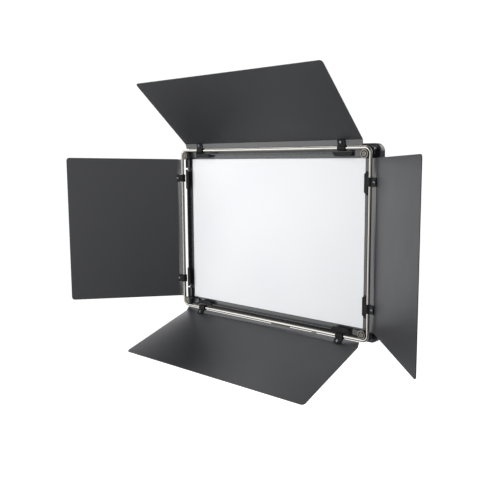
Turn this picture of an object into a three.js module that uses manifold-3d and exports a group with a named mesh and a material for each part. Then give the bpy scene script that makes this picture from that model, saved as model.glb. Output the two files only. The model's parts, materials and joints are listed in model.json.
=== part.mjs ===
// LED panel light with four barn-door leaves on a bent rod frame, and a tilting stand socket behind it.
// Millimetres. World frame: +Z up, the light shines towards -Y, origin at the mouth of the stand socket.
// Almost everything is drawn in the panel's own face frame: x to the right, y up and z forward,
// with z = 0 on the visible face of the diffuser. "Out" is the distance outward from the window's edge.
import * as THREE from "three";
import { mergeVertices } from "three/addons/utils/BufferGeometryUtils.js";
import Module from "manifold-3d";

const wasm = await Module();
wasm.setup();

// ---------- driving dimensions ----------
const GAP = 0.3; // clearance between two pieces that touch
const OVERCUT = 1; // how far a cutting shape runs past the face it opens
const WINDOW_W = 424; // visible diffuser
const WINDOW_H = 290;

const BEZEL_LIP = 8.5; // flat lip that holds the diffuser
const BEZEL_LIP_THICK = 1.2;
const RIM_THICK = 1.5; // upright rim round the lip
const RIM_RISE = 8; // how far the rim stands in front of the diffuser
const RIM_STOP = 25.4; // the rim stops this far from each window corner
const BEZEL_CORNER = 3;
const POCKET_CORNER = 2; // corners of the pocket behind the lip and of the sheets that lie in it
const WINDOW_CORNER = 1;

const DIFFUSER_THICK = 3;
const DIFFUSER_UNDER_LIP = 6;

const SHELL_OUT = 24.5; // housing edge beyond the window
const SHELL_CORNER = 14;
const SHELL_FRONT = -7;
const SHELL_BACK = -27;
const SHELL_WALL = 2;
const SHELL_CHAMFER = 8;
const SHELL_FRONT_EDGE = 1.5;
const SHELL_MOUTH_OUT = 8;
const CAVITY_FRONT_EDGE = 0.5;
const SHELL_SPARE = 40; // how much too deep each half of the shell is drawn before they are crossed

const COVER_THICK = 2;
const COVER_INSET = 0.4;
const VENT_LENGTH = 56;
const VENT_WIDTH = 3;
const VENT_PITCH = 8;
const VENT_COUNT = 6;
const VENT_TOP_X = 62; // upper pair of vents, from the middle
const VENT_FROM_TOP = 44.1;
const VENT_FROM_SIDE = 78.1; // lower pair, from the cover's edges
const VENT_FROM_BOTTOM = 69.1;

const BOARD_THICK = 1.6;
const BOARD_UNDER = 5;
const BOARD_FRONT = -14;
const CHIP_COLUMNS = 9;
const CHIP_ROWS = 6;
const CHIP_SIZE = 5;
const CHIP_RISE = 0.8;
const SINK_PLATE = 2.5;
const SINK_FINS = 14;
const SINK_FIN_THICK = 1.5;
const SINK_FIN_SETBACK = 10; // fins stop short of the window's edge
const SINK_FIN_ROOT = 0.5;

const ROD_RADIUS = 3; // bent rod that the leaves turn on
const ROD_OUT = 17;
const ROD_FORWARD = 12.5;
const ROD_BEND = 10;
const ROD_SIDES = 12;
const ROD_LAP = 0.02; // straight bars run this far into the bends

const BRACKET_INNER = 3.4; // corner brackets
const BRACKET_OUTER = 15;
const BRACKET_CORNER = 19.5;
const BRACKET_ARM = 18;
const BRACKET_TOP = 5.7;
const BRACKET_THICK = 2;
const BRACKET_ROUND = 7;
const POST_RADIUS = 3.5;
const POST_OUT = 15.2;
const POST_SINK = 1; // the post runs this far into the bracket's sheet
const SPOOL_SINK = 0.5;
const SPOOL_PLAY = 0.4; // between the spool's waist and the inside of the rod's bend
const SPOOL_CATCH = 0.7; // how far its flanges reach over the rod
const SPOOL_LIP = 0.7; // how far it stands above the rod
const SPOOL_THROAT = 1; // the waist is this much shorter than the rod at each end
const CORNER_SEAT_DEEP = 2;
const CORNER_SCREW_HEAD = 5.2;
const CORNER_SCREW_SHANK = 2;
const CORNER_SCREW_PROUD = 1;
const CORNER_SCREW_PLAY = 0.4;
const CORNER_SCREW_EDGE = 1.2; // chamfer round the head
const CORNER_SCREW_EDGE_HIGH = 0.9;
const CORNER_SLOT_LONG = 5.72;
const CORNER_SLOT_WIDE = 1.3;
const CORNER_SLOT_DEEP = 1.2;

const SHEET = 1.2; // leaf sheet metal
const LIP_START = 4.3; // from the rod's axis to the near edge of the bent lip
const LIP_NOTCH = 7.5; // the lip is cut back this far where a clip goes round the rod
const NOTCH_PLAY = 0.5;
const LIP_END = 14; // from the rod's axis to the fold
const LIP_BEND_DEG = 35;
const LEAF_CORNER = 6;
const LONG_LEAF_LENGTH = 165.5;
const LONG_LEAF_OVERHANG = 3;
const LONG_LEAF_SPLAY = 5.4;
const SHORT_LEAF_LENGTH = 227.5;
const SHORT_LEAF_OVERHANG = 0.5;
const SHORT_LEAF_SPLAY = 4;
const LEAF_REST_DEG = { top: 47, bottom: 70, left: 48, right: 44 };

const CLIP_WIDTH = 15; // snap-on hinge clips
const CLIP_FROM_CORNER = 39;
const CLIP_WALL = 1.9;
const CLIP_BORE_PLAY = 0.4;
const CLIP_TAB_THICK = 1.6;
const CLIP_TAB_END = 13.8;
const CLIP_SLIT = 4.4;
const CLIP_SCREW_AT = 10.8;
const CLIP_SCREW_HEAD = 3;
const CLIP_SCREW_RISE = 1.8;
const CLIP_SCREW_SHANK = 1.4;
const CLIP_SCREW_HOLE = 1.8;
const CLIP_SCREW_EDGE = 0.6; // the head's flat top as a share of its radius
const CLIP_SLOT_WIDE = 0.9;
const CLIP_SLOT_DEEP = 0.8;
const CLIP_SLIT_UP = 1; // the slit is set this far towards the leaf
const CLIP_CUT = 10; // long enough to cut right through a clip or a lip

const SADDLE_LENGTH = 40; // guards that ride on the rim behind each clip
const SADDLE_INNER = 3;
const SADDLE_OVERHANG = 0.6; // beyond the rim's outer face
const SADDLE_THICK = 1.5;
const SADDLE_SKIRT = 4;
const SADDLE_SHIFT = 2.2;
const SADDLE_TAPER = 5;
const SADDLE_SINK = 1; // the skirt runs this far into the top

const BOX_W = 180; // control box on the back
const BOX_H = 112;
const BOX_DEEP = 28;
const BOX_CORNER = 10;
const BOX_WALL = 2.4;
const BOX_Y = 22;
const BOX_CHAMFER = 3;
const BOX_SPARE = 20; // drawn this much too deep, then trimmed flat
const FASCIA_BORDER = 7;
const FASCIA_THICK = 1.8;
const FASCIA_CORNER = 5;
const DISPLAY_W = 46;
const DISPLAY_H = 26;
const DISPLAY_Y = 22;
const DISPLAY_CORNER = 2;
const DIAL_X = 52;
const DIAL_Y = 12;
const DIAL_RADIUS = 12;
const DIAL_HIGH = 13;
const DIAL_SHAFT = 3;
const DIAL_FLUTES = 16;
const DIAL_EDGE = 1.5;
const FLUTE_RADIUS = 1.1;
const FLUTE_OUT = 0.5; // the flutes' axes stand this far outside the dial
const FLUTE_FROM_TOP = 2.5;
const FLUTE_FROM_FOOT = 0.5;
const POINTER_WIDE = 1.2;
const POINTER_DEEP = 0.6;
const BUTTON_X = 15;
const BUTTON_Y = -8;
const BUTTON_RADIUS = 4.6;
const BUTTON_SHANK = 2.5;
const BUTTON_TRAVEL = 1.2;
const BUTTON_SPARE = 0.5; // left under the cap at full travel
const BUTTON_PROUD = 2.2;
const BUTTON_EDGE = 0.6;
const BUTTON_REACH = 2; // shank inside the box
const ROCKER_W = 20;
const ROCKER_H = 13;
const ROCKER_Y = -30;
const ROCKER_SLOPE_DEG = 7;
const ROCKER_PROUD = 2.4;
const ROCKER_DEEP = 4;
const ROCKER_TAPER = 0.86; // foot as a share of the face
const ROCKER_HOLE_CORNER = 1;
const SHAFT_PLAY = 0.4;
const SHAFT_REACH = 3; // dial shaft inside the box
const SOCKET_X = 50;
const SOCKET_RADIUS = 8;
const SOCKET_BORE = 4.6;
const SOCKET_DEEP = 9;
const SOCKET_PIN = 1.2;
const SOCKET_LONG = 14; // inlet and port, behind the middle of their flange
const SOCKET_FLANGE = 5; // beyond the hole's edge, to left and right
const SOCKET_FLANGE_HIGH = 2; // beyond the hole's edge, front and back
const SOCKET_FLANGE_THICK = 2;
const PORT_W = 16;
const PORT_H = 13;
const PORT_WALL = 2;
const PORT_DEEP = 11.5;

const DRIVER_W = 150; // driver board
const DRIVER_H = 84;
const DRIVER_CORNER = 2;
const DRIVER_STANDOFF = 3;
const DRIVER_UP = 4; // these heights are above the middle of the control box
const DRIVER_SINK = 0.5; // components run this far into their board
const TRANSFORMER_W = 30;
const TRANSFORMER_H = 26;
const TRANSFORMER_DEEP = 13;
const TRANSFORMER_X = -40;
const TRANSFORMER_UP = 22;
const CHOKE_RADIUS = 9;
const CHOKE_DEEP = 12;
const CHOKE_X = 4;
const CHOKE_UP = 24;
const CAPACITOR_RADIUS = 5.5;
const CAPACITOR_LONG = 14;
const CAPACITOR_COUNT = 3;
const CAPACITOR_X = 24; // the first one
const CAPACITOR_PITCH = 14;
const CAPACITOR_UP = 2;

const PLATE_X = -150; // battery plate beside the control box
const PLATE_Y = 22;
const PLATE_W = 92;
const PLATE_H = 112;
const PLATE_THICK = 13;
const PLATE_CORNER = 6;
const WEDGE_TOP = 56;
const WEDGE_BOTTOM = 44;
const WEDGE_HIGH = 74;
const WEDGE_DEEP = 7;
const LATCH_W = 12;
const LATCH_H = 10;
const LATCH_TRAVEL = 4;
const LATCH_DEEP = 6;
const LATCH_FROM_SIDE = 3;
const LATCH_FROM_TOP = 14; // to the latch's middle
const LATCH_PROUD = 2.5;
const LATCH_CORNER = 1.2;
const LATCH_SLOT_CORNER = 1;
const LATCH_GROOVE_PITCH = 2.5;
const LATCH_GROOVE_WIDE = 1;
const LATCH_GROOVE_DEEP = 0.8;
const LATCH_GROOVE_END = 2;

const STAND_BACK = 46; // stand axis behind the diffuser face
const TILT_BELOW = 202; // tilt axis below the middle of the window
const SPINE_W = 44;
const SPINE_THICK = 5;
const SPINE_TOP = -60;
const SPINE_CORNER = 4;
const SPINE_HOLE = 2.6;
const SPINE_HOLE_IN = 8; // from the strap's side
const SPINE_HOLE_DOWN = 12; // from the strap's top
const SPINE_HOLE_PITCH = 70;
const SPINE_RELIEF = 3; // the opening between the ears runs this far above them
const EAR_THICK = 6;
const KNUCKLE_HALF = 12.7;
const EAR_RADIUS = 13;
const TILT_PIN = 4;
const PIN_PLAY = 0.35;
const PIN_HEAD = 7;
const PIN_HEAD_HIGH = 5;
const PIN_THREAD = 14; // pin beyond the ear, inside the lever's hub
const CROSS_HOLE = 80; // longer than anything that the pin goes through
const KNUCKLE_PLAY = 0.5; // the knuckle is this much smaller than the ears
const NECK_INSET = 1; // the neck is slimmer than the knuckle
const NECK_SLIM = 3;
const NECK_SINK = 4;
const BARREL_RADIUS = 15;
const BARREL_FOOT_EDGE = 1;
const BARREL_SHOULDER = 3;
const BARREL_TOP = 22; // below the tilt axis
const BARREL_BOTTOM = 70;
const SPIGOT_BORE = 8.1; // takes a 16 mm stand spigot
const SPIGOT_DEEP = 42;
const CLAMP_UP = 18; // clamp screw above the socket mouth
const CLAMP_SHANK = 4;
const CLAMP_KNOB = 14;
const CLAMP_KNOB_HIGH = 16;
const CLAMP_STANDOFF = 9;
const CLAMP_LOBES = 6;
const CLAMP_SCALLOP = 5;
const CLAMP_SCALLOP_OUT = 2.5;
const CLAMP_SINK = 2; // the screw runs this far into the knob
const CLAMP_TIP = 0.5; // and stops this far outside the bore
const CLAMP_BOSS = 7;
const CLAMP_BOSS_RISE = 4;
const CLAMP_BOSS_START = 2;

const LEVER_LENGTH = 46; // tilt lock lever
const LEVER_HUB = 10;
const LEVER_HUB_LONG = 18;
const LEVER_END_PLAY = 0.8;
const LEVER_W = 7;
const LEVER_H = 12;
const LEVER_CORNER = 3;
const LEVER_START = 3; // the handle leaves the hub this far from its axis
const LEVER_BEND = 0.6; // where the handle bends, as a share of its length
const LEVER_BEND_OUT = 3;
const LEVER_TIP_OUT = 13;

const FINE_SIDES = 32; // facets of round pieces, by how large they show
const ROUND_SIDES = 20;
const MEDIUM_SIDES = 16;
const SMALL_SIDES = 12;
const HEX = 6;

// ---------- solids ----------
const RIGHT_ANGLE = Math.PI / 2;
const FULL_TURN = Math.PI * 2;
const radians = (degrees) => (degrees * Math.PI) / 180;

// A closed three.js geometry as a solid that can be cut and joined.
function solid(geometry) {
  const bare = geometry.clone();
  bare.deleteAttribute("normal");
  bare.deleteAttribute("uv");
  const merged = mergeVertices(bare, 1e-4);
  return new wasm.Manifold(
    new wasm.Mesh({
      numProp: 3,
      vertProperties: new Float32Array(merged.attributes.position.array),
      triVerts: new Uint32Array(merged.index.array),
    }),
  );
}

const join = (...pieces) => pieces.reduce((whole, piece) => whole.add(piece));
const cut = (whole, ...tools) => tools.reduce((left, tool) => left.subtract(tool), whole);

function geometryOf(made) {
  const data = made.getMesh();
  const geometry = new THREE.BufferGeometry();
  geometry.setAttribute("position", new THREE.BufferAttribute(data.vertProperties, 3));
  geometry.setIndex(new THREE.BufferAttribute(data.triVerts, 1));
  return geometry.toNonIndexed();
}

function roundedRectangle(width, height, radius, x = 0, y = 0) {
  const right = width / 2;
  const top = height / 2;
  const shape = new THREE.Shape();
  shape.moveTo(x - right + radius, y - top);
  shape.lineTo(x + right - radius, y - top);
  shape.absarc(x + right - radius, y - top + radius, radius, -RIGHT_ANGLE, 0);
  shape.lineTo(x + right, y + top - radius);
  shape.absarc(x + right - radius, y + top - radius, radius, 0, RIGHT_ANGLE);
  shape.lineTo(x - right + radius, y + top);
  shape.absarc(x - right + radius, y + top - radius, radius, RIGHT_ANGLE, Math.PI);
  shape.lineTo(x - right, y - top + radius);
  shape.absarc(x - right + radius, y - top + radius, radius, Math.PI, Math.PI + RIGHT_ANGLE);
  shape.closePath();
  return shape;
}

// A flat outline given depth from one z to another.
function slab(shape, zLow, zHigh, curveSegments = 4) {
  const depth = zHigh - zLow;
  const made = new THREE.ExtrudeGeometry(shape, { depth, bevelEnabled: false, curveSegments });
  return solid(made.translate(0, 0, zLow));
}

const plate = (width, height, radius, zLow, zHigh, x = 0, y = 0) =>
  slab(roundedRectangle(width, height, radius, x, y), zLow, zHigh);

// The same outline with a chamfer round both ends.
function chamferedBlock(width, height, radius, zLow, zHigh, chamfer) {
  const shape = roundedRectangle(width - 2 * chamfer, height - 2 * chamfer, radius - chamfer);
  const made = new THREE.ExtrudeGeometry(shape, {
    depth: zHigh - zLow - 2 * chamfer,
    bevelEnabled: true,
    bevelThickness: chamfer,
    bevelSize: chamfer,
    bevelSegments: 1,
    curveSegments: 6,
  });
  return solid(made.translate(0, 0, zLow + chamfer));
}

function box(width, height, depth, x, y, z) {
  return solid(new THREE.BoxGeometry(width, height, depth).translate(x, y, z));
}

// A round bar along x, y or z.
function bar(radius, length, along, x, y, z, sides = ROUND_SIDES) {
  const made = new THREE.CylinderGeometry(radius, radius, length, sides);
  made.rotateY(Math.PI / sides);
  if (along === "x") made.rotateZ(-RIGHT_ANGLE);
  if (along === "z") made.rotateX(RIGHT_ANGLE);
  return solid(made.translate(x, y, z));
}

// A turned piece about z from [radius, z] points that start and end on the axis.
function turned(points, segments = ROUND_SIDES) {
  const profile = points.map(([radius, z]) => new THREE.Vector2(radius, z));
  return solid(new THREE.LatheGeometry(profile, segments).rotateX(RIGHT_ANGLE));
}

function addMesh(parent, name, made, material) {
  const mesh = new THREE.Mesh(geometryOf(made), material);
  mesh.name = name;
  parent.add(mesh);
  return mesh;
}

const finish = (color, roughness, metalness) => () =>
  new THREE.MeshStandardMaterial({ color, roughness, metalness });
const blackPaint = finish(0x2b2c2e, 0.45, 0.2);
const leafPaint = finish(0x3a3b3e, 0.6, 0.3);
const blackPlastic = finish(0x17171a, 0.5, 0);
const glossPlastic = finish(0x0c0d10, 0.12, 0);
const chrome = finish(0xd9dadc, 0.1, 1);
const steel = finish(0xa9abae, 0.3, 1);
const aluminium = finish(0xb5b7ba, 0.4, 1);
const opal = finish(0xf2f2f4, 0.6, 0);
const boardGreen = finish(0x2f5d43, 0.5, 0);

// ---------- groups ----------
const light = new THREE.Group();
const face = new THREE.Group();
face.rotation.x = RIGHT_ANGLE;
face.position.set(0, -STAND_BACK, TILT_BELOW + BARREL_BOTTOM);
light.add(face);

const atOut = (out, radius, zLow, zHigh) =>
  plate(WINDOW_W + 2 * out, WINDOW_H + 2 * out, radius, zLow, zHigh);
const RIM_OUT = BEZEL_LIP + RIM_THICK;

// ---------- front: bezel and diffuser ----------
function buildBezel() {
  const block = atOut(RIM_OUT, BEZEL_CORNER, SHELL_FRONT + GAP, RIM_RISE);
  const frontPocket = atOut(BEZEL_LIP, POCKET_CORNER, BEZEL_LIP_THICK, RIM_RISE + OVERCUT);
  const backPocket = atOut(BEZEL_LIP, POCKET_CORNER, SHELL_FRONT, 0);
  const window = atOut(0, WINDOW_CORNER, -OVERCUT, BEZEL_LIP_THICK + OVERCUT);
  const reach = RIM_OUT + OVERCUT + RIM_STOP;
  const corners = [];
  for (const sx of [-1, 1]) {
    for (const sy of [-1, 1]) {
      const x = sx * (WINDOW_W / 2 - RIM_STOP + reach / 2);
      const y = sy * (WINDOW_H / 2 - RIM_STOP + reach / 2);
      corners.push(box(reach, reach, RIM_RISE, x, y, BEZEL_LIP_THICK + RIM_RISE / 2));
    }
  }
  return cut(block, frontPocket, backPocket, window, ...corners);
}

addMesh(face, "front_bezel", buildBezel(), blackPaint());
const diffuser = atOut(DIFFUSER_UNDER_LIP, POCKET_CORNER, -DIFFUSER_THICK - GAP, -GAP);
addMesh(face, "diffuser_panel", diffuser, opal());

// ---------- housing ----------
function shellBlock(out, corner, front, back, frontEdge, chamfer) {
  const width = WINDOW_W + 2 * out;
  const height = WINDOW_H + 2 * out;
  const rear = chamferedBlock(width, height, corner, back, front + SHELL_SPARE, chamfer);
  const fore = chamferedBlock(width, height, corner, back - SHELL_SPARE, front, frontEdge);
  return rear.intersect(fore);
}

function buildShell() {
  const outer = shellBlock(SHELL_OUT, SHELL_CORNER, SHELL_FRONT, SHELL_BACK, SHELL_FRONT_EDGE, SHELL_CHAMFER);
  const innerOut = SHELL_OUT - SHELL_WALL;
  const innerCorner = SHELL_CORNER - SHELL_WALL;
  const cavityFront = SHELL_FRONT - SHELL_WALL;
  const cavity = shellBlock(innerOut, innerCorner, cavityFront, SHELL_BACK, CAVITY_FRONT_EDGE, SHELL_CHAMFER);
  const mouthOut = innerOut - SHELL_CHAMFER;
  const mouthCorner = innerCorner - SHELL_CHAMFER;
  const backMouth = atOut(mouthOut, mouthCorner, SHELL_BACK - OVERCUT, SHELL_BACK + OVERCUT);
  const frontMouth = atOut(SHELL_MOUTH_OUT, POCKET_CORNER, SHELL_BACK, SHELL_FRONT + OVERCUT);
  return cut(outer, cavity, backMouth, frontMouth);
}

addMesh(face, "housing_shell", buildShell(), blackPaint());

const COVER_FRONT = SHELL_BACK - GAP;
const COVER_BACK = COVER_FRONT - COVER_THICK;
const ON_COVER = COVER_BACK - GAP;

function buildCover() {
  const out = SHELL_OUT - SHELL_CHAMFER - COVER_INSET;
  const sheet = atOut(out, SHELL_CORNER - SHELL_CHAMFER, COVER_BACK, COVER_FRONT);
  const upperY = WINDOW_H / 2 + out - VENT_FROM_TOP;
  const lowerX = WINDOW_W / 2 + out - VENT_FROM_SIDE;
  const lowerY = VENT_FROM_BOTTOM - WINDOW_H / 2 - out;
  const vents = [];
  for (let i = 0; i < VENT_COUNT; i++) {
    for (const [x, y] of [[lowerX, lowerY], [-lowerX, lowerY], [VENT_TOP_X, upperY], [-VENT_TOP_X, upperY]]) {
      const along = y + (i - (VENT_COUNT - 1) / 2) * VENT_PITCH;
      const slot = roundedRectangle(VENT_LENGTH, VENT_WIDTH, VENT_WIDTH / 2.1, x, along);
      vents.push(slab(slot, COVER_BACK - OVERCUT, COVER_FRONT + OVERCUT, 2));
    }
  }
  return cut(sheet, ...vents);
}

addMesh(face, "back_cover", buildCover(), blackPaint());

// ---------- inside: LED board and heat sink ----------
function buildBoard() {
  const pieces = [atOut(BOARD_UNDER, POCKET_CORNER, BOARD_FRONT - BOARD_THICK, BOARD_FRONT)];
  for (let column = 0; column < CHIP_COLUMNS; column++) {
    for (let row = 0; row < CHIP_ROWS; row++) {
      const x = ((column + 0.5) / CHIP_COLUMNS - 0.5) * WINDOW_W;
      const y = ((row + 0.5) / CHIP_ROWS - 0.5) * WINDOW_H;
      pieces.push(box(CHIP_SIZE, CHIP_SIZE, 2 * CHIP_RISE, x, y, BOARD_FRONT));
    }
  }
  return join(...pieces);
}

addMesh(face, "led_board", buildBoard(), boardGreen());

function buildSink() {
  const front = BOARD_FRONT - BOARD_THICK - GAP;
  const back = front - SINK_PLATE;
  const finBack = COVER_FRONT + GAP;
  const pieces = [atOut(BOARD_UNDER, POCKET_CORNER, back, front)];
  for (let i = 0; i < SINK_FINS; i++) {
    const x = ((i + 0.5) / SINK_FINS - 0.5) * WINDOW_W;
    const depth = back - finBack + SINK_FIN_ROOT;
    const long = WINDOW_H - 2 * SINK_FIN_SETBACK;
    pieces.push(box(SINK_FIN_THICK, long, depth, x, 0, finBack + depth / 2));
  }
  return join(...pieces);
}

addMesh(face, "heat_sink", buildSink(), aluminium());

// ---------- rod frame ----------
// Four straight bars and four quarter bends about the corner screws.
function buildRod() {
  const spanX = WINDOW_W + 2 * (ROD_OUT - ROD_BEND);
  const spanY = WINDOW_H + 2 * (ROD_OUT - ROD_BEND);
  const pieces = [];
  for (const side of [-1, 1]) {
    const y = side * (WINDOW_H / 2 + ROD_OUT);
    const x = side * (WINDOW_W / 2 + ROD_OUT);
    pieces.push(bar(ROD_RADIUS, spanX + 2 * ROD_LAP, "x", 0, y, 0, ROD_SIDES));
    pieces.push(bar(ROD_RADIUS, spanY + 2 * ROD_LAP, "y", x, 0, 0, ROD_SIDES));
  }
  const section = [];
  for (let i = 0; i <= ROD_SIDES; i++) {
    const angle = ((i + 0.5) / ROD_SIDES) * FULL_TURN;
    section.push([ROD_BEND + ROD_RADIUS * Math.cos(angle), ROD_RADIUS * Math.sin(angle)]);
  }
  const ring = turned(section, FINE_SIDES);
  const big = ROD_BEND + ROD_RADIUS + OVERCUT;
  for (const sx of [-1, 1]) {
    for (const sy of [-1, 1]) {
      const quarter = ring.intersect(box(big, big, big, (sx * big) / 2, (sy * big) / 2, 0));
      pieces.push(quarter.translate([(sx * spanX) / 2, (sy * spanY) / 2, 0]));
    }
  }
  return join(...pieces).translate([0, 0, ROD_FORWARD]);
}

addMesh(face, "hinge_rod_frame", buildRod(), chrome());

// ---------- corner brackets and screws ----------
const SCREW_OUT = ROD_OUT - ROD_BEND;
const SPOOL_WAIST = ROD_BEND - ROD_RADIUS - SPOOL_PLAY;
const SPOOL_FLANGE = ROD_BEND - ROD_RADIUS + SPOOL_CATCH;
const SPOOL_TOP = ROD_FORWARD + ROD_RADIUS + SPOOL_LIP;
const CORNER_SCREW_TOP = SPOOL_TOP + CORNER_SCREW_PROUD;

// Drawn for the top right corner, with x and y measured outward from the window's corner.
function buildBracket() {
  const widen = BRACKET_CORNER - BRACKET_OUTER;
  const start = BRACKET_OUTER - 2 * widen;
  const roundAt = BRACKET_CORNER - BRACKET_ROUND;
  const shape = new THREE.Shape();
  shape.moveTo(BRACKET_INNER, -BRACKET_ARM);
  shape.lineTo(BRACKET_OUTER, -BRACKET_ARM);
  shape.lineTo(BRACKET_OUTER, start - widen);
  shape.lineTo(BRACKET_CORNER, start);
  shape.lineTo(BRACKET_CORNER, roundAt);
  shape.absarc(roundAt, roundAt, BRACKET_ROUND, 0, RIGHT_ANGLE);
  shape.lineTo(start, BRACKET_CORNER);
  shape.lineTo(start - widen, BRACKET_OUTER);
  shape.lineTo(-BRACKET_ARM, BRACKET_OUTER);
  shape.lineTo(-BRACKET_ARM, BRACKET_INNER);
  shape.lineTo(BRACKET_INNER, BRACKET_INNER);
  shape.closePath();
  const plateBottom = BRACKET_TOP - BRACKET_THICK;
  const sheet = slab(shape, plateBottom, BRACKET_TOP);
  const postLow = SHELL_FRONT + GAP;
  const postLength = BRACKET_TOP - POST_SINK - postLow;
  const post = bar(POST_RADIUS, postLength, "z", POST_OUT, POST_OUT, postLow + postLength / 2);
  const waistHalf = ROD_RADIUS - SPOOL_THROAT;
  const spoolLow = BRACKET_TOP - SPOOL_SINK;
  const spool = turned([
    [0, spoolLow],
    [SPOOL_FLANGE, spoolLow],
    [SPOOL_FLANGE, ROD_FORWARD - ROD_RADIUS - GAP],
    [SPOOL_WAIST, ROD_FORWARD - waistHalf],
    [SPOOL_WAIST, ROD_FORWARD + waistHalf],
    [SPOOL_FLANGE, ROD_FORWARD + ROD_RADIUS],
    [SPOOL_FLANGE, SPOOL_TOP],
    [0, SPOOL_TOP],
  ]).translate([SCREW_OUT, SCREW_OUT, 0]);
  const seatRadius = CORNER_SCREW_HEAD + CORNER_SCREW_PLAY;
  const seat = bar(seatRadius, 2 * CORNER_SEAT_DEEP, "z", SCREW_OUT, SCREW_OUT, SPOOL_TOP);
  const holeRadius = CORNER_SCREW_SHANK + CORNER_SCREW_PLAY;
  const hole = bar(holeRadius, 2 * SPOOL_TOP, "z", SCREW_OUT, SCREW_OUT, 0);
  return cut(join(sheet, post, spool), seat, hole);
}

function buildCornerScrew() {
  const headLow = SPOOL_TOP - CORNER_SEAT_DEEP + GAP;
  const shankLow = BRACKET_TOP - BRACKET_THICK;
  const body = turned(
    [
      [0, shankLow],
      [CORNER_SCREW_SHANK, shankLow],
      [CORNER_SCREW_SHANK, headLow],
      [CORNER_SCREW_HEAD, headLow],
      [CORNER_SCREW_HEAD, CORNER_SCREW_TOP - CORNER_SCREW_EDGE_HIGH],
      [CORNER_SCREW_HEAD - CORNER_SCREW_EDGE, CORNER_SCREW_TOP],
      [0, CORNER_SCREW_TOP],
    ],
    MEDIUM_SIDES,
  );
  const slotCut = 2 * CORNER_SLOT_DEEP;
  const across = box(CORNER_SLOT_LONG, CORNER_SLOT_WIDE, slotCut, 0, 0, CORNER_SCREW_TOP);
  const upright = box(CORNER_SLOT_WIDE, CORNER_SLOT_LONG, slotCut, 0, 0, CORNER_SCREW_TOP);
  return cut(body, across, upright).translate([SCREW_OUT, SCREW_OUT, 0]);
}

const corners = [
  { name: "top_right", sx: 1, sy: 1, turn: 0 },
  { name: "top_left", sx: -1, sy: 1, turn: 90 },
  { name: "bottom_left", sx: -1, sy: -1, turn: 180 },
  { name: "bottom_right", sx: 1, sy: -1, turn: 270 },
];
for (const corner of corners) {
  const group = new THREE.Group();
  group.position.set((corner.sx * WINDOW_W) / 2, (corner.sy * WINDOW_H) / 2, 0);
  group.rotation.z = radians(corner.turn);
  face.add(group);
  addMesh(group, "corner_bracket_" + corner.name, buildBracket(), blackPaint());
  addMesh(group, "corner_screw_" + corner.name, buildCornerScrew(), steel());
}

// ---------- leaves, hinge clips and rim saddles ----------
// One side's frame: x along the hinge, y outward and z forward. The hinge frame has its origin on the
// rod's axis and turns about x, with the leaf running along +y.
const FOLD_Y = LIP_END * Math.cos(radians(LIP_BEND_DEG));
const FOLD_Z = -LIP_END * Math.sin(radians(LIP_BEND_DEG));
const FOLD_LAP = SHEET / 4; // blade and lip run this far into each other

const screwHole = (x) => bar(CLIP_SCREW_HOLE, CLIP_CUT, "z", x, CLIP_SCREW_AT, 0, SMALL_SIDES);

function buildLeaf(side) {
  const inner = side.span / 2 + side.overhang;
  const outer = inner + side.splay;
  const far = side.leafLength;
  const shape = new THREE.Shape();
  shape.moveTo(-inner, -FOLD_LAP);
  shape.lineTo(inner, -FOLD_LAP);
  shape.lineTo(outer, far - LEAF_CORNER);
  shape.absarc(outer - LEAF_CORNER, far - LEAF_CORNER, LEAF_CORNER, 0, RIGHT_ANGLE);
  shape.lineTo(-outer + LEAF_CORNER, far);
  shape.absarc(-outer + LEAF_CORNER, far - LEAF_CORNER, LEAF_CORNER, RIGHT_ANGLE, Math.PI);
  shape.closePath();
  const blade = slab(shape, -SHEET / 2, SHEET / 2).translate([0, FOLD_Y, FOLD_Z]);
  const lipLength = LIP_END - LIP_START + FOLD_LAP;
  const lip = box(2 * inner, lipLength, SHEET, 0, LIP_START + lipLength / 2, 0);
  const holes = side.clipAt.map((x) => screwHole(x));
  const notchWidth = CLIP_WIDTH + 2 * NOTCH_PLAY;
  const notches = side.clipAt.map((x) => box(notchWidth, LIP_NOTCH, CLIP_CUT, x, LIP_NOTCH / 2, 0));
  return join(blade, cut(lip, ...holes, ...notches).rotate([-LIP_BEND_DEG, 0, 0]));
}

// The clip's own frame is the lip's: y runs along the lip, away from the rod.
function buildClip(x) {
  const bore = ROD_RADIUS + CLIP_BORE_PLAY;
  const outer = bore + CLIP_WALL;
  const tabLow = SHEET / 2 + GAP;
  const tabLength = CLIP_TAB_END - bore;
  const tabY = bore + tabLength / 2;
  const tab = box(CLIP_WIDTH, tabLength, CLIP_TAB_THICK, x, tabY, tabLow + CLIP_TAB_THICK / 2);
  const cheekEnd = LIP_NOTCH - GAP;
  const cheek = box(CLIP_WIDTH, cheekEnd - bore, outer, x, (cheekEnd + bore) / 2, 0);
  const ring = bar(outer, CLIP_WIDTH, "x", x, 0, 0, MEDIUM_SIDES);
  const through = CLIP_WIDTH + 2 * OVERCUT;
  const hole = bar(bore, through, "x", x, 0, 0, MEDIUM_SIDES);
  const slitDeep = outer + OVERCUT;
  const slit = box(through, CLIP_SLIT, slitDeep, x, CLIP_SLIT_UP - CLIP_SLIT / 2, -slitDeep / 2);
  return cut(join(ring, tab, cheek), hole, slit, screwHole(x)).rotate([-LIP_BEND_DEG, 0, 0]);
}

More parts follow.
